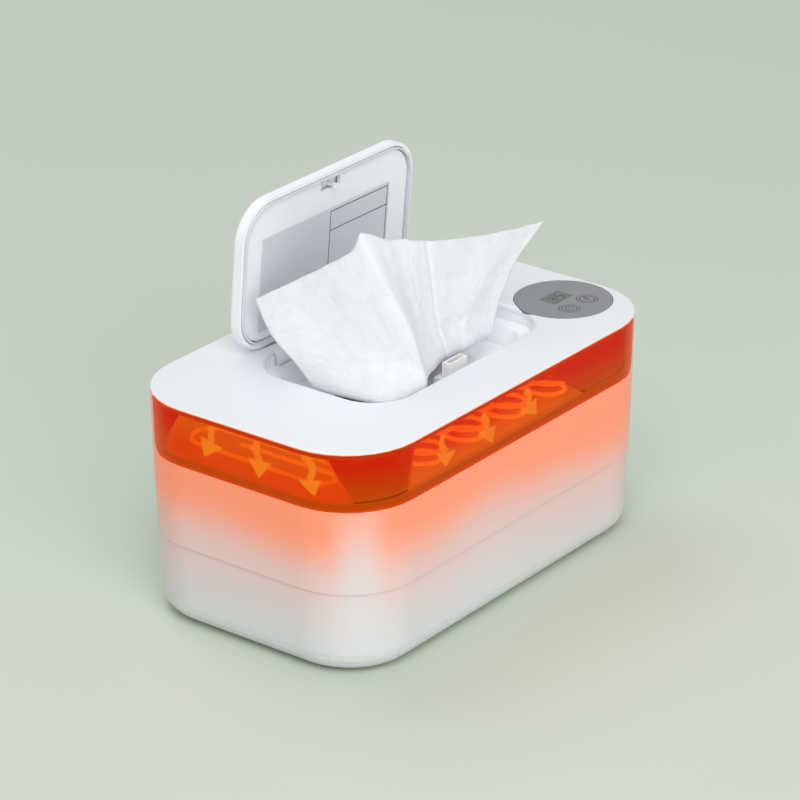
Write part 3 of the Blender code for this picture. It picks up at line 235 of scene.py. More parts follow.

# Painted heater glow. These masks say where the walls get a painted salmon glow fading down from the band,
# where a thin painted highlight runs along the lip, and where the surfaces behind the band get a painted
# glow.
painted_heater_glow, given, result = new_group(
    "painted_heater_glow",
    (place_socket,),
    (
        ("Painted Glow", "NodeSocketFloat"), ("Rim", "NodeSocketFloat"), ("Inside", "NodeSocketFloat"),
        ("Wall", "NodeSocketFloat"),
    ),
)
# The glow fades from the band down, by these levels at heights in tenths of a metre.
fade_stops = (
    (0.08, 0.0), (0.2, 0.08), (0.3, 0.2), (0.4, 0.32), (0.47, 0.48), (0.54, 0.74), (0.62, 0.96), (0.72, 1.0)
)
# Each pair is a distance from the warmer's middle or foot where a mask starts, and one where it is full.
dark_right_end, dark_back, dark_bay = (0.098, 0.078), (0.0585, 0.048), (-0.095, -0.07)
end_wall, side_wall = (0.080, 0.086), (0.0435, 0.0475)
under_lip, lip_foot, lip_head = (0.0975, 0.0965), (0.0974, 0.0978), (0.0985, 0.0981)
over_band_foot = (0.0733, 0.0737)
bay_guard = 0.022
highlight_x, highlight_y, highlight_reach = -0.0925, -0.0520, (0.0145, 0.002)
axes = add_node(painted_heater_glow, "ShaderNodeSeparateXYZ", {0: given["Place"]}).outputs
drift = calc(painted_heater_glow, "SUBTRACT", noise_at(painted_heater_glow, given["Place"], 16.0, 1.0), 0.5)
longer = product(painted_heater_glow, ramp(painted_heater_glow, axes["X"], -0.02, 0.08), 0.009)
lifted = calc(painted_heater_glow, "ADD", calc(painted_heater_glow, "MULTIPLY_ADD", drift, 0.012, axes["Z"]), longer)
fade = add_node(painted_heater_glow, "ShaderNodeValToRGB", {0: calc(painted_heater_glow, "MULTIPLY", lifted, 10.0)})
fade.color_ramp.interpolation = "CARDINAL"
for stop_at, level in fade_stops:
    fade.color_ramp.elements.new(stop_at).color = (level, level, level, 1.0)
fade.color_ramp.elements.remove(fade.color_ramp.elements[-1])
fade.color_ramp.elements.remove(fade.color_ramp.elements[0])
fade_level = add_node(painted_heater_glow, "ShaderNodeSeparateColor", {0: fade.outputs[0]}).outputs[0]
behind_end = calc(painted_heater_glow, "ADD", axes["Y"], ramp(painted_heater_glow, axes["X"], *dark_bay, 0.0, bay_guard))
lit_sides = product(
    painted_heater_glow, ramp(painted_heater_glow, axes["X"], *dark_right_end), ramp(painted_heater_glow, behind_end, *dark_back)
)
outer_wall = calc(
    painted_heater_glow,
    "MAXIMUM",
    ramp(painted_heater_glow, calc(painted_heater_glow, "ABSOLUTE", axes["X"]), *end_wall),
    ramp(painted_heater_glow, calc(painted_heater_glow, "ABSOLUTE", axes["Y"]), *side_wall),
)
below_lip = ramp(painted_heater_glow, axes["Z"], *under_lip)
# A painted highlight runs down the front left corner: the glow is taken out there so the white shows as a
# pale band, stronger lower down.
corner_x = calc(painted_heater_glow, "POWER", calc(painted_heater_glow, "SUBTRACT", axes["X"], highlight_x), 2.0)
corner_y = calc(painted_heater_glow, "POWER", calc(painted_heater_glow, "SUBTRACT", axes["Y"], highlight_y), 2.0)
corner_way = calc(painted_heater_glow, "SQRT", calc(painted_heater_glow, "ADD", corner_x, corner_y))
highlight_rise = ramp(painted_heater_glow, axes["Z"], 0.080, 0.050, 0.12, 0.55)
painted_corner_highlight = product(painted_heater_glow, ramp(painted_heater_glow, corner_way, *highlight_reach), highlight_rise)
beside_highlight = calc(painted_heater_glow, "SUBTRACT", 1.0, painted_corner_highlight)
# A thin painted highlight line glows along the lip above the band.
painted_lip_highlight = product(
    painted_heater_glow, ramp(painted_heater_glow, axes["Z"], *lip_foot), ramp(painted_heater_glow, axes["Z"], *lip_head)
)
over_foot = ramp(painted_heater_glow, axes["Z"], *over_band_foot)
feed(painted_heater_glow, result, {
    "Painted Glow": product(painted_heater_glow, fade_level, lit_sides, outer_wall, below_lip, beside_highlight),
    "Rim": product(painted_heater_glow, painted_lip_highlight, lit_sides, outer_wall),
    "Inside": product(painted_heater_glow, over_foot, below_lip, lit_sides, outer_wall),
    "Wall": product(painted_heater_glow, outer_wall, below_lip),
})

# The rounded corners of the housing shade as true rounds between their flat facets. The group also tells
# how far a place is in from the outer wall, which leans out a little from the foot to the top.
half_length, half_width, housing_height, wall_radius = 0.103, 0.0625, 0.0986, 0.0323
wall_lean, foot_lean = 0.022, 0.00217
same_facet = 0.988
round_corner, given, result = new_group(
    "round_corner", (place_socket,), (("Normal", "NodeSocketVector"), ("Inset", "NodeSocketFloat"))
)
axes = add_node(round_corner, "ShaderNodeSeparateXYZ", {0: given["Place"]}).outputs
lean = calc(round_corner, "MULTIPLY_ADD", axes["Z"], -wall_lean, foot_lean)
outwards = []
for axis, centre in (("X", half_length - wall_radius), ("Y", half_width - wall_radius)):
    beyond = calc(round_corner, "ADD", calc(round_corner, "ABSOLUTE", axes[axis]), lean)
    beyond = calc(round_corner, "MAXIMUM", calc(round_corner, "SUBTRACT", beyond, centre), 0.0)
    outwards.append(product(round_corner, beyond, calc(round_corner, "SIGN", axes[axis])))
level = add_node(round_corner, "ShaderNodeCombineXYZ", {"X": outwards[0], "Y": outwards[1]}).outputs[0]
reach = add_node(round_corner, "ShaderNodeVectorMath", {0: level}, operation="LENGTH").outputs["Value"]
level = add_node(round_corner, "ShaderNodeVectorMath", {0: level}, operation="NORMALIZE").outputs[0]
tilt = {0: level, 1: (0.0, 0.0, -wall_lean)}
turned = add_node(round_corner, "ShaderNodeVectorMath", tilt, operation="ADD").outputs[0]
to_world = add_node(round_corner, "ShaderNodeVectorTransform", {0: turned}, vector_type="NORMAL")
to_world.convert_from, to_world.convert_to = "OBJECT", "WORLD"
turned = to_world.outputs[0]
facing = add_node(round_corner, "ShaderNodeNewGeometry").outputs["Normal"]
ways = {0: facing, 1: turned}
agreement = add_node(round_corner, "ShaderNodeVectorMath", ways, operation="DOT_PRODUCT").outputs["Value"]
choice = {0: calc(round_corner, "GREATER_THAN", agreement, same_facet), 4: facing, 5: turned}
chosen = add_node(round_corner, "ShaderNodeMix", choice, data_type="VECTOR").outputs[1]
feed(round_corner, result, {"Normal": chosen, "Inset": calc(round_corner, "SUBTRACT", wall_radius, reach)})

# The side walls are painted a greyer white than the top plate, as painted shade. Under the band they take a
# painted salmon tint and glow, with a painted highlight along the lip and a painted glow on the surfaces
# behind the band.
shaded_wall_white, lit_top_white = (0.70, 0.70, 0.715, 1.0), (0.83, 0.835, 0.86, 1.0)
painted_wall_tint, painted_rim_tint, painted_inside_tint = (0.76, 0.27, 0.155, 1.0), (0.76, 0.34, 0.20, 1.0), (0.30, 0.10, 0.02, 1.0)
no_glow, wall_light, rim_light = (0.0, 0.0, 0.0, 1.0), (0.29, 0.05, 0.022, 1.0), (0.24, 0.10, 0.05, 1.0)
inside_light = (0.42, 0.26, 0.0, 1.0)
inside_depth = (0.0006, 0.0014)
lit_white, tree, shader, where = new_finish("lit_white_wall")
painted_glow = use_group(tree, painted_heater_glow, {"Place": where})
corner = use_group(tree, round_corner, {"Place": where})
behind = product(tree, painted_glow["Inside"], ramp(tree, corner["Inset"], *inside_depth))
whites = mixed(tree, painted_glow["Wall"], lit_top_white, shaded_wall_white)
skin = use_group(tree, mould_skin, {"Place": where, "Colour": whites, "Shade": 0.1, "Gloss": 0.36})
wall_colour = mixed(tree, painted_glow["Painted Glow"], skin["Colour"], painted_wall_tint)
wall_colour = mixed(tree, behind, wall_colour, painted_inside_tint)
wall_glow = mixed(tree, painted_glow["Painted Glow"], no_glow, wall_light)
wall_glow = mixed(tree, behind, wall_glow, inside_light)
feed(tree, shader, {
    "Base Color": mixed(tree, painted_glow["Rim"], wall_colour, painted_rim_tint),
    "Roughness": skin["Roughness"],
    "Specular IOR Level": 0.4,
    "Emission Color": mixed(tree, painted_glow["Rim"], wall_glow, rim_light),
    "Emission Strength": 1.0,
    "Coat Weight": 0.12,
    "Coat Roughness": 0.25,
})
bump(tree, shader, skin["Height"], 0.00002, Normal=corner["Normal"])


def dress(material, *names):
    """Gives CAD nodes a finish."""
    for name in names:
        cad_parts[name].material_slots[0].material = material


dress(lit_white, "tub")

# Feet. Four round pads of grey rubber are pressed into pockets in the tub's floor. They stand a little
# proud of it and keep the warmer from sliding.


def moulded(name, colour, gloss, shade=0.2, grain=2600.0, depth=0.00002, **constants):
    """A moulded plastic or rubber finish, with constants for the shader's own sockets."""
    material, tree, shader, where = new_finish(name)
    values = {"Place": where, "Colour": (*colour, 1.0), "Shade": shade, "Gloss": gloss, "Grain": grain}
    skin = use_group(tree, mould_skin, values)
    feed(tree, shader, {"Base Color": skin["Colour"], "Roughness": skin["Roughness"]})
    feed(tree, shader, {key.replace("_", " "): value for key, value in constants.items()})
    bump(tree, shader, skin["Height"], depth)
    return material


foot_rubber = moulded("foot_rubber", (0.30, 0.30, 0.31), 0.72, 0.6, 1800.0, 0.00006)
dress(foot_rubber, "foot_1", "foot_2", "foot_3", "foot_4")

# Cover. The skirt, the upper cover and the lid's basin are three white mouldings welded into one housing.
# The skirt and the wall behind the amber band carry a painted glow of the heater light and painted shade, the
# basin stays plain white.
dress(lit_white, "cover_skirt", "upper_cover")
bright_white = moulded(
    "bright_white_plastic", (0.92, 0.925, 0.945), 0.38, 0.1, Coat_Weight=0.1, Coat_Roughness=0.2
)
dress(bright_white, "lid_basin", "dispensing_plate")

# Slot lip. A soft collar moulded of frosted silicone is pushed into the dispensing plate. Its edge grips
# the wipe that comes up through it.


def frosted(name, colour, clear, gloss):
    """A frosted silicone finish that lets part of the light through."""
    return moulded(name, colour, gloss, 0.3, 1500.0, 0.00003, Transmission_Weight=clear, IOR=1.41)


dress(frosted("slot_silicone", (0.88, 0.89, 0.91), 0.25, 0.45), "slot_lip")

# Heater tray. A white moulding closes the heater bay from below. It carries the strip, the coil's holders
# and three standoffs, and four screws hold it up with the aluminium heat spreader.
tray_white = moulded("tray_white_plastic", (0.76, 0.74, 0.71), 0.5)
dress(tray_white, "heater_tray", "standoff_1", "standoff_2", "standoff_3")


def worn_metal(name, colour, gloss, drawn=(900.0, 60.0, 900.0), metal=1.0, depth=0.00001):
    """A metal finish with drawn lines along one axis and cloudy wear."""
    material, tree, shader, where = new_finish(name)
    stretched = add_node(tree, "ShaderNodeMapping", {0: where, "Scale": drawn}).outputs[0]
    lines = noise_at(tree, stretched, 1.0, 3.0)
    wear = noise_at(tree, where, 60.0, 4.0)
    dull = (*[0.72 * share for share in colour], 1.0)
    feed(tree, shader, {
        "Base Color": mixed(tree, ramp(tree, wear, 0.35, 0.75), (*colour, 1.0), dull),
        "Roughness": calc(tree, "MULTIPLY_ADD", calc(tree, "SUBTRACT", lines, 0.5), 0.35, gloss),
        "Metallic": metal,
    })
    bump(tree, shader, lines, depth)
    return material


dress(worn_metal("rolled_aluminium", (0.86, 0.87, 0.88), 0.38), "heat_spreader")
screw_steel = worn_metal("turned_steel", (0.62, 0.62, 0.61), 0.3, (1500.0, 1500.0, 200.0))
dress(screw_steel, "tray_screw_1", "tray_screw_2", "tray_screw_3", "tray_screw_4")

# Thermostat. A black phenolic housing with a snap disc in it is clipped to the tray beside the coil. It
# cuts the current before the bay gets too hot.
matt_black = moulded("matt_black_plastic", (0.025, 0.025, 0.027), 0.5, 0.8)
dress(matt_black, "thermostat")

# Heating coil. A resistance wire runs round the bay and stands up in four loops behind the band, and
# one long loop lies behind the left end. It glows orange and sits in five fired ceramic holders.
hot_wire, tree, shader, where = new_finish("hot_wire")
heat = noise_at(tree, where, 45.0, 2.0)
feed(tree, shader, {
    "Base Color": mixed(tree, heat, (0.55, 0.18, 0.06, 1.0), (0.75, 0.28, 0.08, 1.0)),
    "Roughness": ramp(tree, noise_at(tree, where, 900.0), 0.3, 0.7, 0.35, 0.55),
    "Emission Color": mixed(tree, heat, (1.0, 0.80, 0.10, 1.0), (1.0, 1.0, 0.22, 1.0)),
    "Emission Strength": 2.7,
})
dress(hot_wire, "heating_coil")
fired_ceramic = moulded("fired_ceramic", (0.80, 0.76, 0.70), 0.6, 0.5, 1200.0, 0.00008)
dress(fired_ceramic, *(f"coil_holder_{which}" for which in (1, 2, 3, 4, "end")))

# Leads. Two wires in red silicone insulation are soldered to the power board. One runs to the coil and
# one to the control board.
dress(moulded("lead_insulation", (0.55, 0.10, 0.06), 0.42, 0.4), "coil_lead", "control_lead")

# Light strip. A thin board stands behind the diffusers round the left end and the front, with its
# light emitting chips soldered on its inner face, one every few millimetres.
board_green, tree, shader, where = new_finish("board_lacquer")
track_sizes = {"Vector": where, "Scale": 260.0, "Mortar Size": 0.03}
tracks = add_node(tree, "ShaderNodeTexBrick", track_sizes).outputs["Fac"]
feed(tree, shader, {
    "Base Color": mixed(tree, tracks, (0.02, 0.14, 0.07, 1.0), (0.05, 0.22, 0.11, 1.0)),
    "Roughness": ramp(tree, noise_at(tree, where, 700.0), 0.3, 0.7, 0.25, 0.42),
    "Coat Weight": 0.4,
})
bump(tree, shader, tracks, 0.00003)
dress(board_green, "light_strip", "control_board", "power_board")

# The end wall's flat runs this far from its middle, the front wall's flat is this long, and a corner
# between them takes a quarter turn.
wall_flat_end = half_width - wall_radius
wall_flat_front = 2 * (half_length - wall_radius)
wall_bend = wall_radius * math.pi / 2


def wall_place(along, height, inset):
    """The place at a distance along the wall from the middle of its left end towards the front, at a
    height and an inset from the outer wall. The wall leans outwards with height."""
    inward = inset + wall_lean * (housing_height - height)
    end, front, radius = half_length - inward, half_width - inward, wall_radius - inset
    centre_x, centre_y = radius - end, radius - front
    if along < -wall_flat_end:
        angle = (along + wall_flat_end) / wall_radius
        return Vector((centre_x - radius * math.cos(angle), -centre_y - radius * math.sin(angle), height))
    if along <= wall_flat_end:
        return Vector((-end, -along, height))
    if along < wall_flat_end + wall_bend:
        angle = (along - wall_flat_end) / wall_radius
        return Vector((centre_x - radius * math.cos(angle), centre_y - radius * math.sin(angle), height))
    along -= wall_flat_end + wall_bend
    if along <= wall_flat_front:
        return Vector((centre_x + along, -front, height))
    angle = (along - wall_flat_front) / wall_radius
    return Vector((radius * math.sin(angle) - centre_x, centre_y - radius * math.cos(angle), height))


def new_tree(name, *inputs):
    """A Geometry Nodes tree with inputs for the geometry, its named sizes and its finish, and one output."""
    tree = bpy.data.node_groups.new(name, "GeometryNodeTree")
    tree.interface.new_socket(name="Geometry", in_out="INPUT", socket_type="NodeSocketGeometry")
    tree.interface.new_socket(name="Geometry", in_out="OUTPUT", socket_type="NodeSocketGeometry")
    for input_name, kind in inputs:
        tree.interface.new_socket(name=input_name, in_out="INPUT", socket_type=kind)
    tree.interface.new_socket(name="Finish", in_out="INPUT", socket_type="NodeSocketMaterial")
    return tree, tree.nodes.new("NodeGroupInput").outputs, tree.nodes.new("NodeGroupOutput")


def end_tree(tree, geometry, given, result):
    """Ends a Geometry Nodes tree: its instances are made real and take the finish it is given."""
    solid = add_node(tree, "GeometryNodeRealizeInstances", {0: geometry}).outputs[0]
    finished = add_node(tree, "GeometryNodeSetMaterial", {"Geometry": solid, "Material": given["Finish"]})
    tree.links.new(finished.outputs[0], result.inputs[0])


def grown(name, source, tree, sizes, material):
    """Runs a Geometry Nodes tree on a source mesh and keeps the result as a plain mesh."""
    modifier = source.modifiers.new("grower", "NODES")
    modifier.node_group = tree
    values = {**sizes, "Finish": material}
    for item in tree.interface.items_tree:
        if item.in_out == "INPUT" and item.name in values:
            modifier[item.identifier] = values[item.name]
    bpy.context.view_layer.update()
    mesh = bpy.data.meshes.new_from_object(source.evaluated_get(bpy.context.evaluated_depsgraph_get()))
    bpy.data.objects.remove(source)
    mesh.materials.clear()
    mesh.materials.append(material)
    made = bpy.data.objects.new(name, mesh)
    bpy.context.scene.collection.objects.link(made)
    return made


def path_object(points):
    """A mesh of one open line through points."""
    builder = bmesh.new()
    corners = [builder.verts.new(point) for point in points]
    for first, second in zip(corners, corners[1:]):
        builder.edges.new((first, second))
    return mesh_object("path", builder)


chip_rows, given, result = new_tree(
    "chips_along_a_path", ("Spacing", "NodeSocketFloat"), ("Size", "NodeSocketVector")
)
line = add_node(chip_rows, "GeometryNodeMeshToCurve", {"Mesh": given["Geometry"]}).outputs[0]
spacing = {"Curve": line, "Length": given["Spacing"]}
spots = add_node(chip_rows, "GeometryNodeResampleCurve", spacing, mode="LENGTH").outputs[0]
tangent = add_node(chip_rows, "GeometryNodeInputTangent").outputs[0]
facing = add_node(chip_rows, "FunctionNodeAlignRotationToVector", {"Vector": tangent}, axis="X").outputs[0]
chip = add_node(chip_rows, "GeometryNodeMeshCube", {"Size": given["Size"]}).outputs["Mesh"]
placed_chips = add_node(
    chip_rows, "GeometryNodeInstanceOnPoints", {"Points": spots, "Instance": chip, "Rotation": facing}
).outputs[0]
end_tree(chip_rows, placed_chips, given, result)

chip_lens, tree, shader, where = new_finish("chip_lens")
feed(tree, shader, {
    "Base Color": mixed(tree, noise_at(tree, where, 1200.0), (0.9, 0.55, 0.2, 1.0), (0.95, 0.7, 0.35, 1.0)),
    "Roughness": 0.35,
    "Emission Color": (1.0, 0.36, 0.10, 1.0),
    "Emission Strength": 1.2,
})
strip_inset, strip_height = 0.00535, 0.0741
strip_start, strip_end = -0.028, 0.202
strip_points = 60
strip_run = (strip_end - strip_start) / strip_points
strip_path = path_object(
    [wall_place(strip_start + strip_run * k, strip_height, strip_inset) for k in range(strip_points + 1)]
)
chip_sizes = {"Spacing": 0.0062, "Size": (0.0026, 0.0007, 0.0016)}
chips = grown("light_chips", strip_path, chip_rows, chip_sizes, chip_lens)
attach(chips, "cover")

# Diffusers. Two sheets of satin film stand behind the band, a tall one across the left end and a long
# one along the front. The strip lights them from below and the coil shows through them.


def lit_film(name, high, low, foot, cover):
    """A glowing film, from its colour at the top to its colour at the foot, that covers part of what is
    behind it."""
    material, tree, shader, where = new_finish(name)
    height = add_node(tree, "ShaderNodeSeparateXYZ", {0: where}).outputs["Z"]
    drift = calc(tree, "SUBTRACT", noise_at(tree, where, 30.0, 2.0), 0.5)
    cloud = calc(tree, "MULTIPLY_ADD", drift, 0.016, height)
    glow = mixed(tree, ramp(tree, cloud, 0.0765, 0.0935), (*low, 1.0), (*high, 1.0))
    glow = mixed(tree, ramp(tree, height, 0.0785, 0.0745), glow, (*foot, 1.0))
    feed(tree, shader, {
        "Base Color": (0.35, 0.2, 0.12, 1.0),
        "Roughness": ramp(tree, noise_at(tree, where, 2400.0), 0.3, 0.7, 0.55, 0.75),
        "Emission Color": glow,
        "Emission Strength": 1.0,
        "Alpha": cover,
    })
    return material


end_film = lit_film("end_film", (0.84, 0.85, 0.3), (0.90, 0.16, 0.02), (0.90, 0.28, 0.05), 0.6)
dress(end_film, "diffuser_end")
front_film = lit_film("front_film", (0.75, 0.02, 0.0), (0.85, 0.62, 0.01), (0.95, 0.75, 0.01), 0.46)
dress(front_film, "diffuser_front")

# Shade films. Between and beside the diffusers sheets of the same film glow a painted dim red, so the band's
# corner and its two ends stay dim in painted shade and the bay behind them hardly shows.
shade_rows = 10
film_depth = 0.0002
# Each film runs along the wall between its ends at the foot and its ends at the head.
shade_films = (
    ((-0.0530, -0.0488), (-0.0530, -0.0323)),
    ((0.0535, 0.0835), (0.0405, 0.0860)),
    ((0.2010, 0.2350), (0.1705, 0.2350)),
)
shade_foot, shade_head, shade_inset, shade_step = 0.0762, 0.0950, 0.00405, 0.002
shade_builder = bmesh.new()
for (foot_start, foot_end), (head_start, head_end) in shade_films:
    columns = math.ceil((head_end - head_start) / shade_step)
    grid = []
    for k in range(shade_rows + 1):
        rise = k / shade_rows
        start = foot_start + (head_start - foot_start) * rise
        run = foot_end + (head_end - foot_end) * rise - start
        height = shade_foot + (shade_head - shade_foot) * rise
        places = [wall_place(start + run * i / columns, height, shade_inset) for i in range(columns + 1)]
        grid.append([shade_builder.verts.new(place) for place in places])
    for k in range(shade_rows):
        for i in range(columns):
            face = shade_builder.faces.new((grid[k][i], grid[k][i + 1], grid[k + 1][i + 1], grid[k + 1][i]))
            face.smooth = True


def thickened(name, builder, thickness, finish):
    """A piece from flat faces, with its finish and a thickness that goes half to each side."""
    made = mesh_object(name, builder)
    wall = made.modifiers.new("thickness", "SOLIDIFY")
    wall.thickness = thickness
    wall.offset = 0.0
    made.data.materials.append(finish)
    return made


def film_piece(name, builder, finish):
    """A thin lit film from its flat faces, riding on the cover."""
    made = thickened(name, builder, film_depth, finish)
    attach(made, "cover")


painted_shade_finish = lit_film("shade_film", (0.52, 0.03, 0.0), (0.42, 0.22, 0.0), (0.45, 0.40, 0.0), 0.84)
film_piece("shade_films", shade_builder, painted_shade_finish)

# Amber band. A tinted clear polycarbonate strip is bent round the left end and the front and pressed
# into the cover's rebate, flush with the wall and polished.
amber, tree, shader, where = new_finish("amber_polycarbonate")
# The band's emission is a painted glow, redder towards its top.
height = add_node(tree, "ShaderNodeSeparateXYZ", {0: where}).outputs["Z"]
drift = calc(tree, "SUBTRACT", noise_at(tree, where, 24.0, 2.0), 0.5)
glow_height = calc(tree, "MULTIPLY_ADD", drift, 0.012, height)
painted_glow_low, painted_glow_high = (0.155, 0.022, 0.0, 1.0), (0.18, 0.004, 0.0, 1.0)
feed(tree, shader, {
    "Base Color": (0.42, 0.095, 0.006, 1.0),
    "Roughness": ramp(tree, noise_at(tree, where, 60.0, 3.0), 0.3, 0.8, 0.02, 0.08),
    "IOR": 1.15,
    "Specular IOR Level": 0.25,
    "Transmission Weight": 1.0,
    "Emission Color": mixed(tree, ramp(tree, glow_height, 0.076, 0.093), painted_glow_low, painted_glow_high),
    "Emission Strength": 1.0,
    "Normal": use_group(tree, round_corner, {"Place": where})["Normal"],
})
dress(amber, "amber_window")

# Heat arrows. Six arrows with curved tails are cut from thin lit film and stuck behind the amber band,
# three on the left end and three along the front, to show the warm air going down.
arrow_inset = 0.0027
arrow_tail_half = 0.0015
# Each arrow is its head's left corner, right corner and tip, then its tail from the top, along the wall
# and up it in millimetres.
arrow_shapes = (
    ((-20.8, 88.4), (-9.5, 86.0), (-19.3, 79.9), ((-14.5, 93.8), (-15.4, 91.0), (-15.0, 87.3))),
    ((3.6, 85.8), (15.2, 86.4), (8.6, 78.3), ((8.7, 93.6), (7.0, 90.6), (8.3, 88.4), (9.4, 86.0))),
    ((28.5, 83.4), (40.0, 85.4), (37.0, 78.1), ((31.0, 94.4), (35.1, 92.3), (36.1, 89.2), (34.6, 84.6))),
    ((98.8, 85.3), (111.0, 82.8), (104.7, 77.7), ((102.6, 92.6), (101.9, 88.4), (104.8, 84.0))),
    ((125.3, 84.2), (137.7, 83.9), (135.5, 76.8), ((128.6, 91.6), (131.6, 88.0), (131.6, 84.0))),
    ((153.4, 83.4), (165.2, 86.0), (165.6, 78.6), ((157.6, 92.0), (160.3, 88.4), (159.6, 84.6))),
)


def spline(points, along):
    """The place on a smooth curve through some points, at a share of its length in spans."""
    spans = len(points) - 1
    i = min(int(along * spans), spans - 1)
    t = along * spans - i
    spots = [2 * points[0] - points[1]] + list(points) + [2 * points[-1] - points[-2]]
    a, b, c, d = spots[i:i + 4]
    return (2 * b + (c - a) * t + (2 * a - 5 * b + 4 * c - d) * t**2 + (3 * b - a - 3 * c + d) * t**3) / 2


def arrow_flat(left, right, tip, tail):
    """Quads and triangles of an arrow in wall millimetres, as lists of corner pairs."""
    steps = 12
    spots = [spline([Vector(spot) for spot in tail], k / steps) for k in range(steps + 1)]
    edges = []
    for k, spot in enumerate(spots):
        ahead = spots[min(k + 1, steps)] - spots[max(k - 1, 0)]
        side = Vector((ahead.y, -ahead.x)).normalized() * arrow_tail_half * 1000
        edges.append((spot - side, spot + side))
    faces = [(edges[k][0], edges[k][1], edges[k + 1][1], edges[k + 1][0]) for k in range(steps)]
    rows = 8
    left, right, tip = Vector(left), Vector(right), Vector(tip)
    sides = [(left.lerp(tip, k / rows), right.lerp(tip, k / rows)) for k in range(rows + 1)]
    for (a, b), (c, d) in zip(sides, sides[1:]):
        middle, lower = a.lerp(b, 0.5), c.lerp(d, 0.5)
        faces.append((a, middle, lower, c))
        faces.append((middle, b, d, lower))
    return faces


arrow_builder = bmesh.new()
for shape in arrow_shapes:
    for corners in arrow_flat(*shape):
        places = [wall_place(spot.x / 1000, spot.y / 1000, arrow_inset) for spot in corners]
        arrow_builder.faces.new([arrow_builder.verts.new(place) for place in places])
bmesh.ops.remove_doubles(arrow_builder, verts=arrow_builder.verts, dist=0.00002)
bmesh.ops.dissolve_degenerate(arrow_builder, edges=arrow_builder.edges, dist=0.00001)
bmesh.ops.recalc_face_normals(arrow_builder, faces=arrow_builder.faces)
arrow_film, tree, shader, where = new_finish("arrow_film")
feed(tree, shader, {
    "Base Color": (0.5, 0.3, 0.2, 1.0),
    "Roughness": 0.6,
    "Emission Color": mixed(tree, noise_at(tree, where, 90.0), (0.54, 0.95, 0.8, 1.0), (0.61, 1.1, 1.0, 1.0)),
    "Emission Strength": 1.75,
    "Alpha": 0.62,
})
film_piece("heat_arrows", arrow_builder, arrow_film)

# Touch latch. A white housing is moulded for the cream acetal cartridge that slides in it on a coiled
# steel spring. Two acetal jaws swing in over the lid's strike and hold it.
acetal = moulded("cream_acetal", (0.87, 0.86, 0.835), 0.34, 0.3, Coat_Weight=0.1)
dress(bright_white, "latch_housing")
dress(acetal, "latch_cartridge", "jaw_left", "jaw_right", "latch_strike")

# Latch spring. Six turns of thin steel wire stand in the latch's housing under its cartridge.
spring_steel = worn_metal("spring_steel", (0.68, 0.68, 0.67), 0.26, (300.0, 300.0, 300.0))
wound_wire, given, result = new_tree("wound_wire", ("Wire Radius", "NodeSocketFloat"))
line = add_node(wound_wire, "GeometryNodeMeshToCurve", {"Mesh": given["Geometry"]}).outputs[0]
round_sizes = {"Resolution": 12, "Radius": given["Wire Radius"]}
wire_round = add_node(wound_wire, "GeometryNodeCurvePrimitiveCircle", round_sizes).outputs["Curve"]
wire_values = {"Curve": line, "Profile Curve": wire_round, "Fill Caps": True}
wire = add_node(wound_wire, "GeometryNodeCurveToMesh", wire_values).outputs[0]
smooth_wire = add_node(wound_wire, "GeometryNodeSetShadeSmooth", {"Geometry": wire}).outputs[0]
end_tree(wound_wire, smooth_wire, given, result)
coil_steps = 24


def wound(name, points, wire_radius):
    """A spring of round steel wire along points."""
    made = grown(name, path_object(points), wound_wire, {"Wire Radius": wire_radius}, spring_steel)
    return made


low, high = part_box("latch_spring")
latch_wire, latch_turns, latch_travel = 0.00025, 6, 0.0034
latch_height = high.z - low.z - 2 * latch_wire
latch_coil_radius = (high.x - low.x) / 2 - latch_wire
latch_axis = (low + high) / 2
latch_line = [
    Vector((
        latch_axis.x + latch_coil_radius * math.cos(2 * math.pi * k / coil_steps),
        latch_axis.y + latch_coil_radius * math.sin(2 * math.pi * k / coil_steps),
        low.z + latch_wire + latch_height * k / (latch_turns * coil_steps),
    ))
    for k in range(latch_turns * coil_steps + 1)
]
latch_coil = wound("latch_coil", latch_line, latch_wire)
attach(latch_coil, "cover")
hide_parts("latch_spring")
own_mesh(latch_coil)

# Lid. A crowned outer shell and a raised inner panel are moulded in bright white, and swing on a ground
# steel pin through the hinge barrels. A frosted silicone ring in the groove between them seals the recess.
dress(bright_white, "lid_shell", "lid_liner")
dress(frosted("seal_silicone", (0.86, 0.875, 0.90), 0.2, 0.38), "lid_seal")
dress(worn_metal("ground_pin", (0.72, 0.72, 0.72), 0.2, (40.0, 1400.0, 1400.0)), "hinge_pin")

# Lid spring. Eight turns of steel wire lie round the pin, with one leg up behind the lid and the other on
# the hinge bay's front wall.
pin_low, pin_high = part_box("hinge_pin")
pin_middle = (pin_low + pin_high) / 2
lid_wire, lid_turns, lid_coil_radius = 0.0004, 8, 0.003
lid_coil_start, lid_coil_length = -0.0026, 0.0112
lid_leg, foot_leg = 0.006, 0.002
lid_slope = math.radians(85)
leg = Vector((0.0, -math.cos(lid_slope), math.sin(lid_slope)))
leg_root = Vector((
    lid_coil_start,
    pin_middle.y + lid_coil_radius * math.sin(lid_slope),
    pin_middle.z + lid_coil_radius * math.cos(lid_slope),
))
lid_line = [leg_root + leg * lid_leg, leg_root + leg * lid_leg / 2]
lid_sweep = 2 * math.pi * lid_turns + math.pi - lid_slope
for k in range(lid_turns * coil_steps + 1):
    share = k / (lid_turns * coil_steps)
    angle = math.pi / 2 - lid_slope - lid_sweep * share
    lid_line.append(Vector((
        lid_coil_start + lid_coil_length * share,
        pin_middle.y + lid_coil_radius * math.cos(angle),
        pin_middle.z + lid_coil_radius * math.sin(angle),
    )))
foot_way = lid_line[-1] - lid_line[-2]
foot_way.x = 0.0
lid_line.append(lid_line[-1] + foot_way.normalized() * foot_leg)
lid_coil = wound("lid_coil", lid_line, lid_wire)
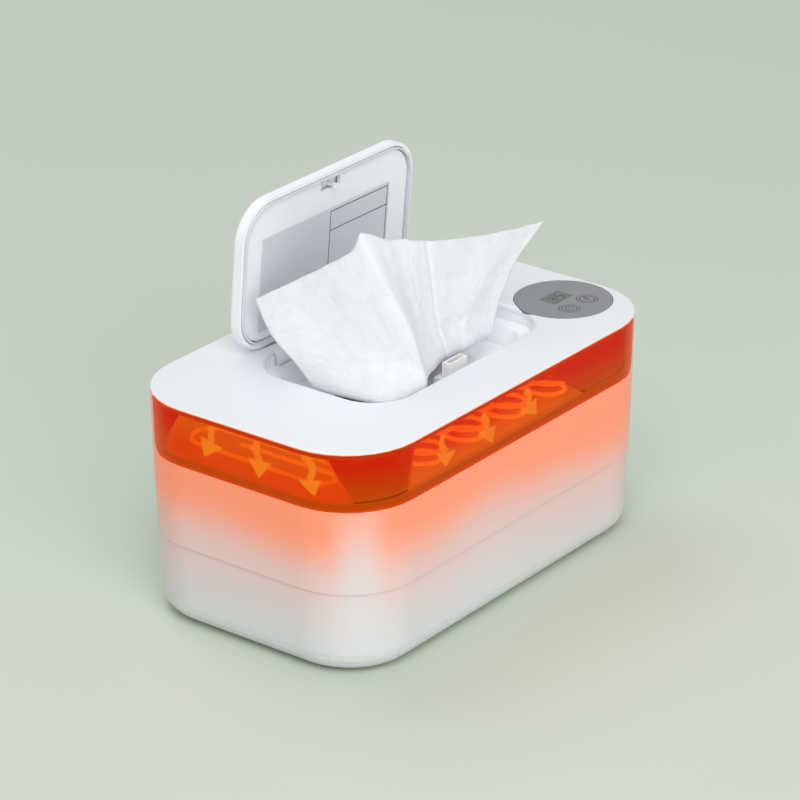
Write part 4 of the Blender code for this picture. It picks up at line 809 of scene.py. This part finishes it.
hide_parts("lid_spring")
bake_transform(lid_coil)

# Lid label. A matt silver plate is stuck to the inner panel. It is printed with a thin dark frame and a
# heading rule on its right half, and carries no words.
silver, tree, shader, where = new_finish("silver_plate")
label_axes = add_node(tree, "ShaderNodeSeparateXYZ", {0: where}).outputs
drawn_out = add_node(tree, "ShaderNodeMapping", {0: where, "Scale": (90.0, 2600.0, 2600.0)}).outputs[0]
brushed = noise_at(tree, drawn_out, 1.0)


def line_at(tree, value, centre, half):
    """A mask of a line of a half width round a value."""
    off = calc(tree, "ABSOLUTE", calc(tree, "SUBTRACT", value, centre))
    return ramp(tree, off, half * 1.4, half * 0.8)


def within(tree, value, low, high):
    """A mask of the values between two ends."""
    return product(tree, calc(tree, "GREATER_THAN", value, low), calc(tree, "LESS_THAN", value, high))


rule_half = 0.00022
frame_left, frame_right, frame_foot, frame_head, heading = 0.0038, 0.0416, 0.1085, 0.1471, 0.1385
across = within(tree, label_axes["X"], frame_left - rule_half, frame_right + rule_half)
upright = within(tree, label_axes["Z"], frame_foot - rule_half, frame_head + rule_half)
ink = product(tree, line_at(tree, label_axes["X"], frame_left, rule_half), upright)
for mask in (
    product(tree, line_at(tree, label_axes["X"], frame_right, rule_half), upright),
    product(tree, line_at(tree, label_axes["Z"], frame_head, rule_half), across),
    product(tree, line_at(tree, label_axes["Z"], frame_foot, rule_half), across),
    product(tree, line_at(tree, label_axes["Z"], heading, rule_half), across),
):
    ink = calc(tree, "MAXIMUM", ink, mask)
plate = mixed(tree, brushed, (0.62, 0.635, 0.665, 1.0), (0.72, 0.735, 0.765, 1.0))
feed(tree, shader, {
    "Base Color": mixed(tree, ink, plate, (0.07, 0.075, 0.09, 1.0)),
    "Roughness": ramp(tree, brushed, 0.3, 0.7, 0.38, 0.5),
    "Metallic": 0.1,
})
bump(tree, shader, brushed, 0.00001)
dress(silver, "lid_label")

# Control disc. A satin grey disc with a shallow lip is set flush in the top plate over the control
# board. It holds a smoked display window and two round touch keys.
disc_grey = moulded(
    "disc_grey", (0.262, 0.264, 0.268), 0.36, 0.5, 3200.0, 0.00002, Coat_Weight=0.25, Coat_Roughness=0.3
)
dress(disc_grey, "control_disc", "power_button", "mode_button")
smoked, tree, shader, where = new_finish("smoked_window")
smoke_dark, smoke_pale = (0.125, 0.135, 0.112, 1.0), (0.15, 0.16, 0.135, 1.0)
feed(tree, shader, {
    "Base Color": mixed(tree, noise_at(tree, where, 240.0), smoke_dark, smoke_pale),
    "Roughness": ramp(tree, noise_at(tree, where, 90.0), 0.3, 0.7, 0.08, 0.2),
    "Coat Weight": 0.5,
    "Coat Roughness": 0.06,
})
dress(smoked, "display_lens")
dress(moulded("display_case", (0.03, 0.032, 0.035), 0.4, 0.6), "display_module")

# Display figures. The liquid crystal shows a temperature in two seven part figures, each a row of the
# same long bar, laid on the window as a print.
figure_bars, given, result = new_tree(
    "bars_at_points", ("Radius", "NodeSocketFloat"), ("Depth", "NodeSocketFloat")
)
bar_round = {"Vertices": 6, "Radius": given["Radius"], "Depth": given["Depth"]}
bar = add_node(figure_bars, "GeometryNodeMeshCylinder", bar_round).outputs["Mesh"]
stretch = add_node(figure_bars, "FunctionNodeInputVector", vector=(3.4, 1.0, 1.0)).outputs[0]
turn_name = {"Name": "turn"}
bar_turn = add_node(figure_bars, "GeometryNodeInputNamedAttribute", turn_name, data_type="FLOAT").outputs[0]
turned = add_node(figure_bars, "ShaderNodeCombineXYZ", {"Z": bar_turn}).outputs[0]
placed_bars = add_node(
    figure_bars,
    "GeometryNodeInstanceOnPoints",
    {"Points": given["Geometry"], "Instance": bar, "Rotation": turned, "Scale": stretch},
).outputs[0]
end_tree(figure_bars, placed_bars, given, result)

lens_low, lens_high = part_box("display_lens")
lens_middle = (lens_low + lens_high) / 2
figure_high, figure_wide, figure_gap = 0.0046, 0.0023, 0.0046
print_depth = 0.00008
dark_print = moulded("dark_print", (0.035, 0.037, 0.040), 0.45, 0.5)
# A bar of a figure is its place across and up the figure as shares, and whether it stands.
bar_places = {
    "top": (0.0, 0.5, 0), "top_left": (-0.5, 0.25, 1), "top_right": (0.5, 0.25, 1), "middle": (0.0, 0.0, 0),
    "low_left": (-0.5, -0.25, 1), "low_right": (0.5, -0.25, 1), "foot": (0.0, -0.5, 0),
}
four = ("top_left", "top_right", "middle", "low_right")
five = ("top", "top_left", "middle", "low_right", "foot")
figure_builder = bmesh.new()
turn_layer = figure_builder.verts.layers.float.new("turn")
for step, figure in ((-0.5, four), (0.5, five)):
    for bar_name in figure:
        side, rise, stands = bar_places[bar_name]
        spot = Vector((step * figure_gap + side * figure_wide, rise * figure_high, 0.0))
        corner = figure_builder.verts.new(Vector((lens_middle.x, lens_middle.y, lens_high.z)) + spot)
        corner[turn_layer] = stands * math.pi / 2
bar_sizes = {"Radius": 0.00028, "Depth": print_depth}
figure_points = mesh_object("figure_points", figure_builder)
figures = grown("display_figures", figure_points, figure_bars, bar_sizes, dark_print)
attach(figures, "cover")

# Key marks. Each key has a thin dark ring printed round its edge. Inside it the power key has an open
# ring with a bar, and the mode key a slanted thermometer.
mark_half = 0.00016
arc_steps = 40


def circle_points(radius, start=0.0, sweep=2 * math.pi):
    """Places on an arc round the origin."""
    angles = [start + sweep * k / arc_steps for k in range(arc_steps + 1)]
    return [Vector((radius * math.sin(angle), radius * math.cos(angle))) for angle in angles]


def printed(name, strokes, centre, top, body):
    """Thin raised lines printed along strokes round a centre, riding on a body."""
    builder = bmesh.new()
    for points in strokes:
        edges = []
        for k, point in enumerate(points):
            ahead = points[min(k + 1, len(points) - 1)] - points[max(k - 1, 0)]
            if (points[0] - points[-1]).length < mark_half and k in (0, len(points) - 1):
                ahead = points[1] - points[-2]
            side = Vector((ahead.y, -ahead.x)).normalized() * mark_half
            edges.append([Vector((*(centre.xy + point + side * way), top)) for way in (1, -1)])
        for first, second in zip(edges, edges[1:]):
            corners = (first[0], second[0], second[1], first[1])
            builder.faces.new([builder.verts.new(place) for place in corners])
    bmesh.ops.remove_doubles(builder, verts=builder.verts, dist=0.00001)
    bmesh.ops.recalc_face_normals(builder, faces=builder.faces)
    made = thickened(name, builder, print_depth, dark_print)
    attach(made, body)


key_ring = circle_points(0.0033)
open_ring = circle_points(0.0017, 0.55, 2 * math.pi - 1.1)
ring_bar = [Vector((0.0, 0.0)), Vector((0.0, 0.0021))]
slant, stem_side = Vector((0.5, 0.866)), Vector((0.00035, -0.0002))
stem_foot, stem_head, stem_tip = slant * 0.0007, slant * 0.0022, slant * 0.0026
power_strokes = (key_ring, open_ring, ring_bar)
mode_strokes = (
    key_ring,
    circle_points(0.0007, 0.9, 2 * math.pi - 0.75),
    [stem_foot + stem_side, stem_head + stem_side],
    [stem_foot - stem_side, stem_head - stem_side],
    [stem_head + stem_side, stem_tip, stem_head - stem_side],
)
for key, body, strokes in (
    ("power_mark", "power_button", power_strokes), ("mode_mark", "mode_button", mode_strokes)
):
    low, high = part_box(body)
    printed(key, strokes, (low + high) / 2, high.z, body)

# Switches. Two black plastic tact switches are soldered to the control board, one under each key, and
# close when it is pressed.
dress(matt_black, "power_switch", "mode_switch")

# Power board. It carries a wound copper inductor and a sleeved capacitor beside the socket in the back
# wall, which is moulded in black and takes the supply's plug.
dress(worn_metal("wound_copper", (0.72, 0.32, 0.14), 0.32, (60.0, 60.0, 2600.0), 0.85, 0.00012), "inductor")
dress(moulded("capacitor_sleeve", (0.03, 0.035, 0.06), 0.28, 0.5, Coat_Weight=0.4), "capacitor")
dress(matt_black, "power_socket")

# Wipe stack. One web of moist non-woven cloth, scored into wipes, is folded to and fro and lies on the
# tub's floor, up to its full height.
pressed_fibres, given, result = new_group(
    "pressed_fibres",
    (place_socket,),
    (("Thin", "NodeSocketFloat"), ("Roughness", "NodeSocketFloat"), ("Height", "NodeSocketFloat")),
)
fibre_rows = []
for fibre_scale in ((2600.0, 420.0, 1.0), (500.0, 2200.0, 1.0)):
    fibre_map = {0: given["Place"], "Scale": fibre_scale}
    drawn_out = add_node(pressed_fibres, "ShaderNodeMapping", fibre_map).outputs[0]
    fibre_rows.append(noise_at(pressed_fibres, drawn_out, 1.0, 3.0))
clumps = noise_at(pressed_fibres, given["Place"], 230.0, 3.0)
dimples = add_node(
    pressed_fibres, "ShaderNodeTexVoronoi", {"Vector": given["Place"], "Scale": 560.0}, feature="SMOOTH_F1"
).outputs["Distance"]
fibres = calc(pressed_fibres, "ADD", *fibre_rows)
thin_clumps, thin_fibres = ramp(pressed_fibres, clumps, 0.35, 0.7), ramp(pressed_fibres, fibres, 0.7, 1.2)
relief = calc(pressed_fibres, "MULTIPLY_ADD", clumps, 1.6, fibres)
feed(pressed_fibres, result, {
    "Thin": product(pressed_fibres, thin_clumps, thin_fibres),
    "Roughness": ramp(pressed_fibres, fibres, 0.7, 1.3, 0.78, 0.95),
    "Height": calc(pressed_fibres, "MULTIPLY_ADD", dimples, 0.9, relief),
})

# The fibres are read from the cloth's own map, in metres.
cloth_white, thin_white = (0.825, 0.825, 0.85, 1.0), (0.76725, 0.76725, 0.7905, 1.0)
fibre_depth, fibre_strength = 0.00012, 0.5
wipe_cloth, tree, shader, where = new_finish("wipe_cloth")
weave = use_group(tree, pressed_fibres, {"Place": where.node.outputs["UV"]})
feed(tree, shader, {
    "Base Color": mixed(tree, weave["Thin"], cloth_white, thin_white),
    "Roughness": weave["Roughness"],
    "Specular IOR Level": 0.25,
    "Sheen Weight": 0.25,
    "Sheen Roughness": 0.5,
    "Subsurface Weight": 0.12,
    "Subsurface Radius": (0.004, 0.004, 0.004),
    "Subsurface Scale": 1.0,
})
bump(tree, shader, weave["Height"], fibre_depth, fibre_strength)

stack_low, stack_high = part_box("wipe_stack")
stack_layers = 32
stack_web = 0.00115
stack_margin = 0.004
stack_pitch = (stack_high.z - stack_low.z - stack_web) / (stack_layers - 1)
stack_reach = (stack_high.y - stack_low.y) / 2 - stack_margin
stack_width = stack_high.x - stack_low.x - stack_margin
stack_map_width = 0.18
stack_columns = 44
turn_steps = 5
flat_steps = 12
fold_bulge = 0.62


def web_place(layer, share, across):
    """The place on the web's middle in a layer at a share of its run, for a share across the web."""
    way = 1 if layer % 2 == 0 else -1
    uneven = 0.0011 * noise.noise(Vector((layer * 1.7, across * 2.0, 5.0)))
    y = way * (stack_reach + uneven) * (2 * share - 1)
    ruffle = 0.30 * stack_pitch * noise.noise(Vector((across * 5.0, y * 34.0, layer * 0.35)))
    x = (across - 0.5) * stack_width + 0.0014 * noise.noise(Vector((layer * 0.9, 0.0, 9.0)))
    edge_hold = 0.0 if layer in (0, stack_layers - 1) else 1.0
    return Vector((x, y, stack_low.z + stack_web / 2 + layer * stack_pitch + ruffle * edge_hold))


stack_builder = bmesh.new()
web_map = stack_builder.loops.layers.uv.new("UVMap")
web_rows = []
for layer in range(stack_layers):
    for k in range(flat_steps + 1):
        share = k / flat_steps
        web_rows.append([web_place(layer, share, i / stack_columns) for i in range(stack_columns + 1)])
    if layer < stack_layers - 1:
        for k in range(1, turn_steps):
            row = []
            for i in range(stack_columns + 1):
                below = web_place(layer, 1.0, i / stack_columns)
                above = web_place(layer + 1, 0.0, i / stack_columns)
                angle = math.pi * k / turn_steps
                out = Vector((0.0, 1.0 if layer % 2 == 0 else -1.0, 0.0))
                middle = (below + above) / 2 + (below - above) / 2 * math.cos(angle)
                row.append(middle + out * math.sin(angle) * (above - below).length * fold_bulge)
            web_rows.append(row)
corners = [[stack_builder.verts.new(place) for place in row] for row in web_rows]
run = 0.0
for k in range(len(corners) - 1):
    step = (web_rows[k + 1][0] - web_rows[k][0]).length
    for i in range(stack_columns):
        spots = ((k, i), (k, i + 1), (k + 1, i + 1), (k + 1, i))
        face = stack_builder.faces.new([corners[row][side] for row, side in spots])
        face.smooth = True
        for loop, (row, side) in zip(face.loops, spots):
            loop[web_map].uv = (side / stack_columns * stack_map_width, run + (row - k) * step)
    run += step
folded_wipes = thickened("folded_wipes", stack_builder, stack_web, wipe_cloth)
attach(folded_wipes, "tub")
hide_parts("wipe_stack")

# Pulled wipe. The top wipe comes up from the stack through the silicone lip, fans out over the recess
# and stands on its own wet folds. It is held only by the lip.
wipe_rise = 0.074
wipe_reach = 0.075
wipe_foot = Vector((0.003, 0.00165, 0.086))
# Each place is a share of the wipe's reach sideways and across, and of its rise over the slot.
wipe_rows = (
    (
        (-0.36, 0.00, -0.39), (-0.25, 0.04, -0.39), (-0.17, -0.02, -0.39), (-0.07, 0.03, -0.39),
        (0.07, -0.02, -0.39), (0.17, 0.03, -0.39), (0.31, -0.01, -0.39),
    ),
    (
        (-0.41, 0.00, -0.16), (-0.31, 0.04, -0.16), (-0.21, -0.02, -0.16), (-0.08, 0.04, -0.16),
        (0.07, -0.02, -0.16), (0.20, 0.03, -0.16), (0.33, -0.01, -0.16),
    ),
    (
        (-0.48, 0.02, -0.04), (-0.40, 0.04, -0.04), (-0.29, -0.03, -0.04), (-0.12, 0.01, -0.04),
        (0.04, -0.03, -0.04), (0.20, 0.02, -0.04), (0.39, -0.02, -0.04),
    ),
    (
        (-0.51, 0.03, 0.02), (-0.41, 0.02, 0.02), (-0.31, -0.05, 0.02), (-0.12, -0.03, 0.02),
        (0.05, -0.04, 0.02), (0.21, -0.01, 0.02), (0.40, -0.03, 0.02),
    ),
    (
        (-0.67, 0.06, 0.11), (-0.61, -0.34, 0.105), (-0.37, -0.41, 0.095), (-0.11, -0.31, 0.11),
        (0.07, -0.28, 0.12), (0.23, -0.29, 0.12), (0.41, -0.29, 0.12),
    ),
    (
        (-0.70, 0.16, 0.24), (-0.57, -0.16, 0.27), (-0.36, -0.38, 0.27), (-0.15, -0.28, 0.30),
        (0.05, -0.26, 0.30), (0.27, -0.28, 0.30), (0.52, -0.29, 0.30),
    ),
    (
        (-0.72, 0.31, 0.38), (-0.56, -0.02, 0.49), (-0.41, -0.32, 0.51), (-0.17, -0.24, 0.49),
        (0.04, -0.24, 0.47), (0.33, -0.28, 0.45), (0.69, -0.29, 0.50),
    ),
    (
        (-0.72, 0.42, 0.56), (-0.59, 0.15, 0.73), (-0.46, -0.10, 0.90), (-0.19, -0.16, 0.88),
        (0.03, -0.21, 0.81), (0.57, -0.26, 0.70), (0.96, -0.29, 0.65),
    ),
)
wipe_columns = 150
wipe_steps = 130
wipe_web = 0.0003
wipe_map_width, wipe_map_height = 0.13, 0.12
wipe_size = Vector((wipe_reach, wipe_reach, wipe_rise))
wipe_lines = [
    [wipe_foot + Vector(share * size for share, size in zip(spot, wipe_size)) for spot in row]
    for row in wipe_rows
]
# Shares of the wipe's width or height say where it comes free of the lip, and where its sharp fold, its
# crease and the point of its top edge stand. How far each stands out is in metres.
held_share, free_share = 0.43, 0.68
ridge_at, ridge_width, ridge_height = 0.345, 0.030, 0.0020
crease_at, crease_width, crease_depth = 0.645, 0.0075, 0.0009
peak_at, peak_left, peak_right, peak_height = 0.35, 0.055, 0.12, 0.0062
fold_height, swell_height, frill_height = 0.0004, 0.0010, 0.0009
crumple_height, fine_height = 0.00022, 0.00016


def smooth_share(value, low, high):
    """How far a value is from low to high, eased at both ends."""
    t = min(max((value - low) / (high - low), 0.0), 1.0)
    return t * t * (3 - 2 * t)


smooth_sheet = []
for i in range(wipe_columns + 1):
    column = [spline(row, i / wipe_columns) for row in wipe_lines]
    smooth_sheet.append([spline(column, k / wipe_steps) for k in range(wipe_steps + 1)])
wipe_builder = bmesh.new()
wipe_map = wipe_builder.loops.layers.uv.new("UVMap")
wipe_corners = []
for i in range(wipe_columns + 1):
    column = []
    for k in range(wipe_steps + 1):
        u, v = i / wipe_columns, k / wipe_steps
        east = smooth_sheet[min(i + 1, wipe_columns)][k] - smooth_sheet[max(i - 1, 0)][k]
        north = smooth_sheet[i][min(k + 1, wipe_steps)] - smooth_sheet[i][max(k - 1, 0)]
        out = east.cross(north).normalized()
        free = smooth_share(v, held_share, free_share)
        waves = 6.0 * u + 0.5 * noise.noise(Vector((u * 2.0, v * 2.0, 1.0)))
        fold = fold_height * math.sin(2 * math.pi * waves) * (1 - 0.4 * v)
        swell = swell_height * noise.noise(Vector((u * 5.0, v * 2.6, 7.0)))
        crumple = crumple_height * noise.noise(Vector((u * 24.0, v * 20.0, 3.0)))
        fine = fine_height * noise.noise(Vector((u * 60.0, v * 55.0, 11.0)))
        ridge = ridge_height * math.exp(-abs(u - ridge_at) / ridge_width)
        crease = -crease_depth * math.exp(-(((u - crease_at) / crease_width) ** 2))
        frill = frill_height * smooth_share(v, 0.93, 1.0) * noise.noise(Vector((u * 17.0, 0.0, 21.0)))
        peak_reach = peak_left if u < peak_at else peak_right
        peak = max(0.0, 1 - abs(u - peak_at) / peak_reach) ** 1.6
        frill += peak_height * peak * smooth_share(v, 0.86, 1.0)
        move = out * free * (fold + swell + crumple + crease + ridge + fine)
        column.append(wipe_builder.verts.new(smooth_sheet[i][k] + move + north.normalized() * frill))
    wipe_corners.append(column)
for i in range(wipe_columns):
    for k in range(wipe_steps):
        spots = ((i, k), (i + 1, k), (i + 1, k + 1), (i, k + 1))
        face = wipe_builder.faces.new([wipe_corners[a][b] for a, b in spots])
        face.smooth = True
        for loop, (a, b) in zip(face.loops, spots):
            loop[wipe_map].uv = (a / wipe_columns * wipe_map_width, b / wipe_steps * wipe_map_height)
standing_wipe = thickened("standing_wipe", wipe_builder, wipe_web, wipe_cloth)
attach(standing_wipe, "cover")
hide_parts("pulled_wipe")
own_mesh(standing_wipe)
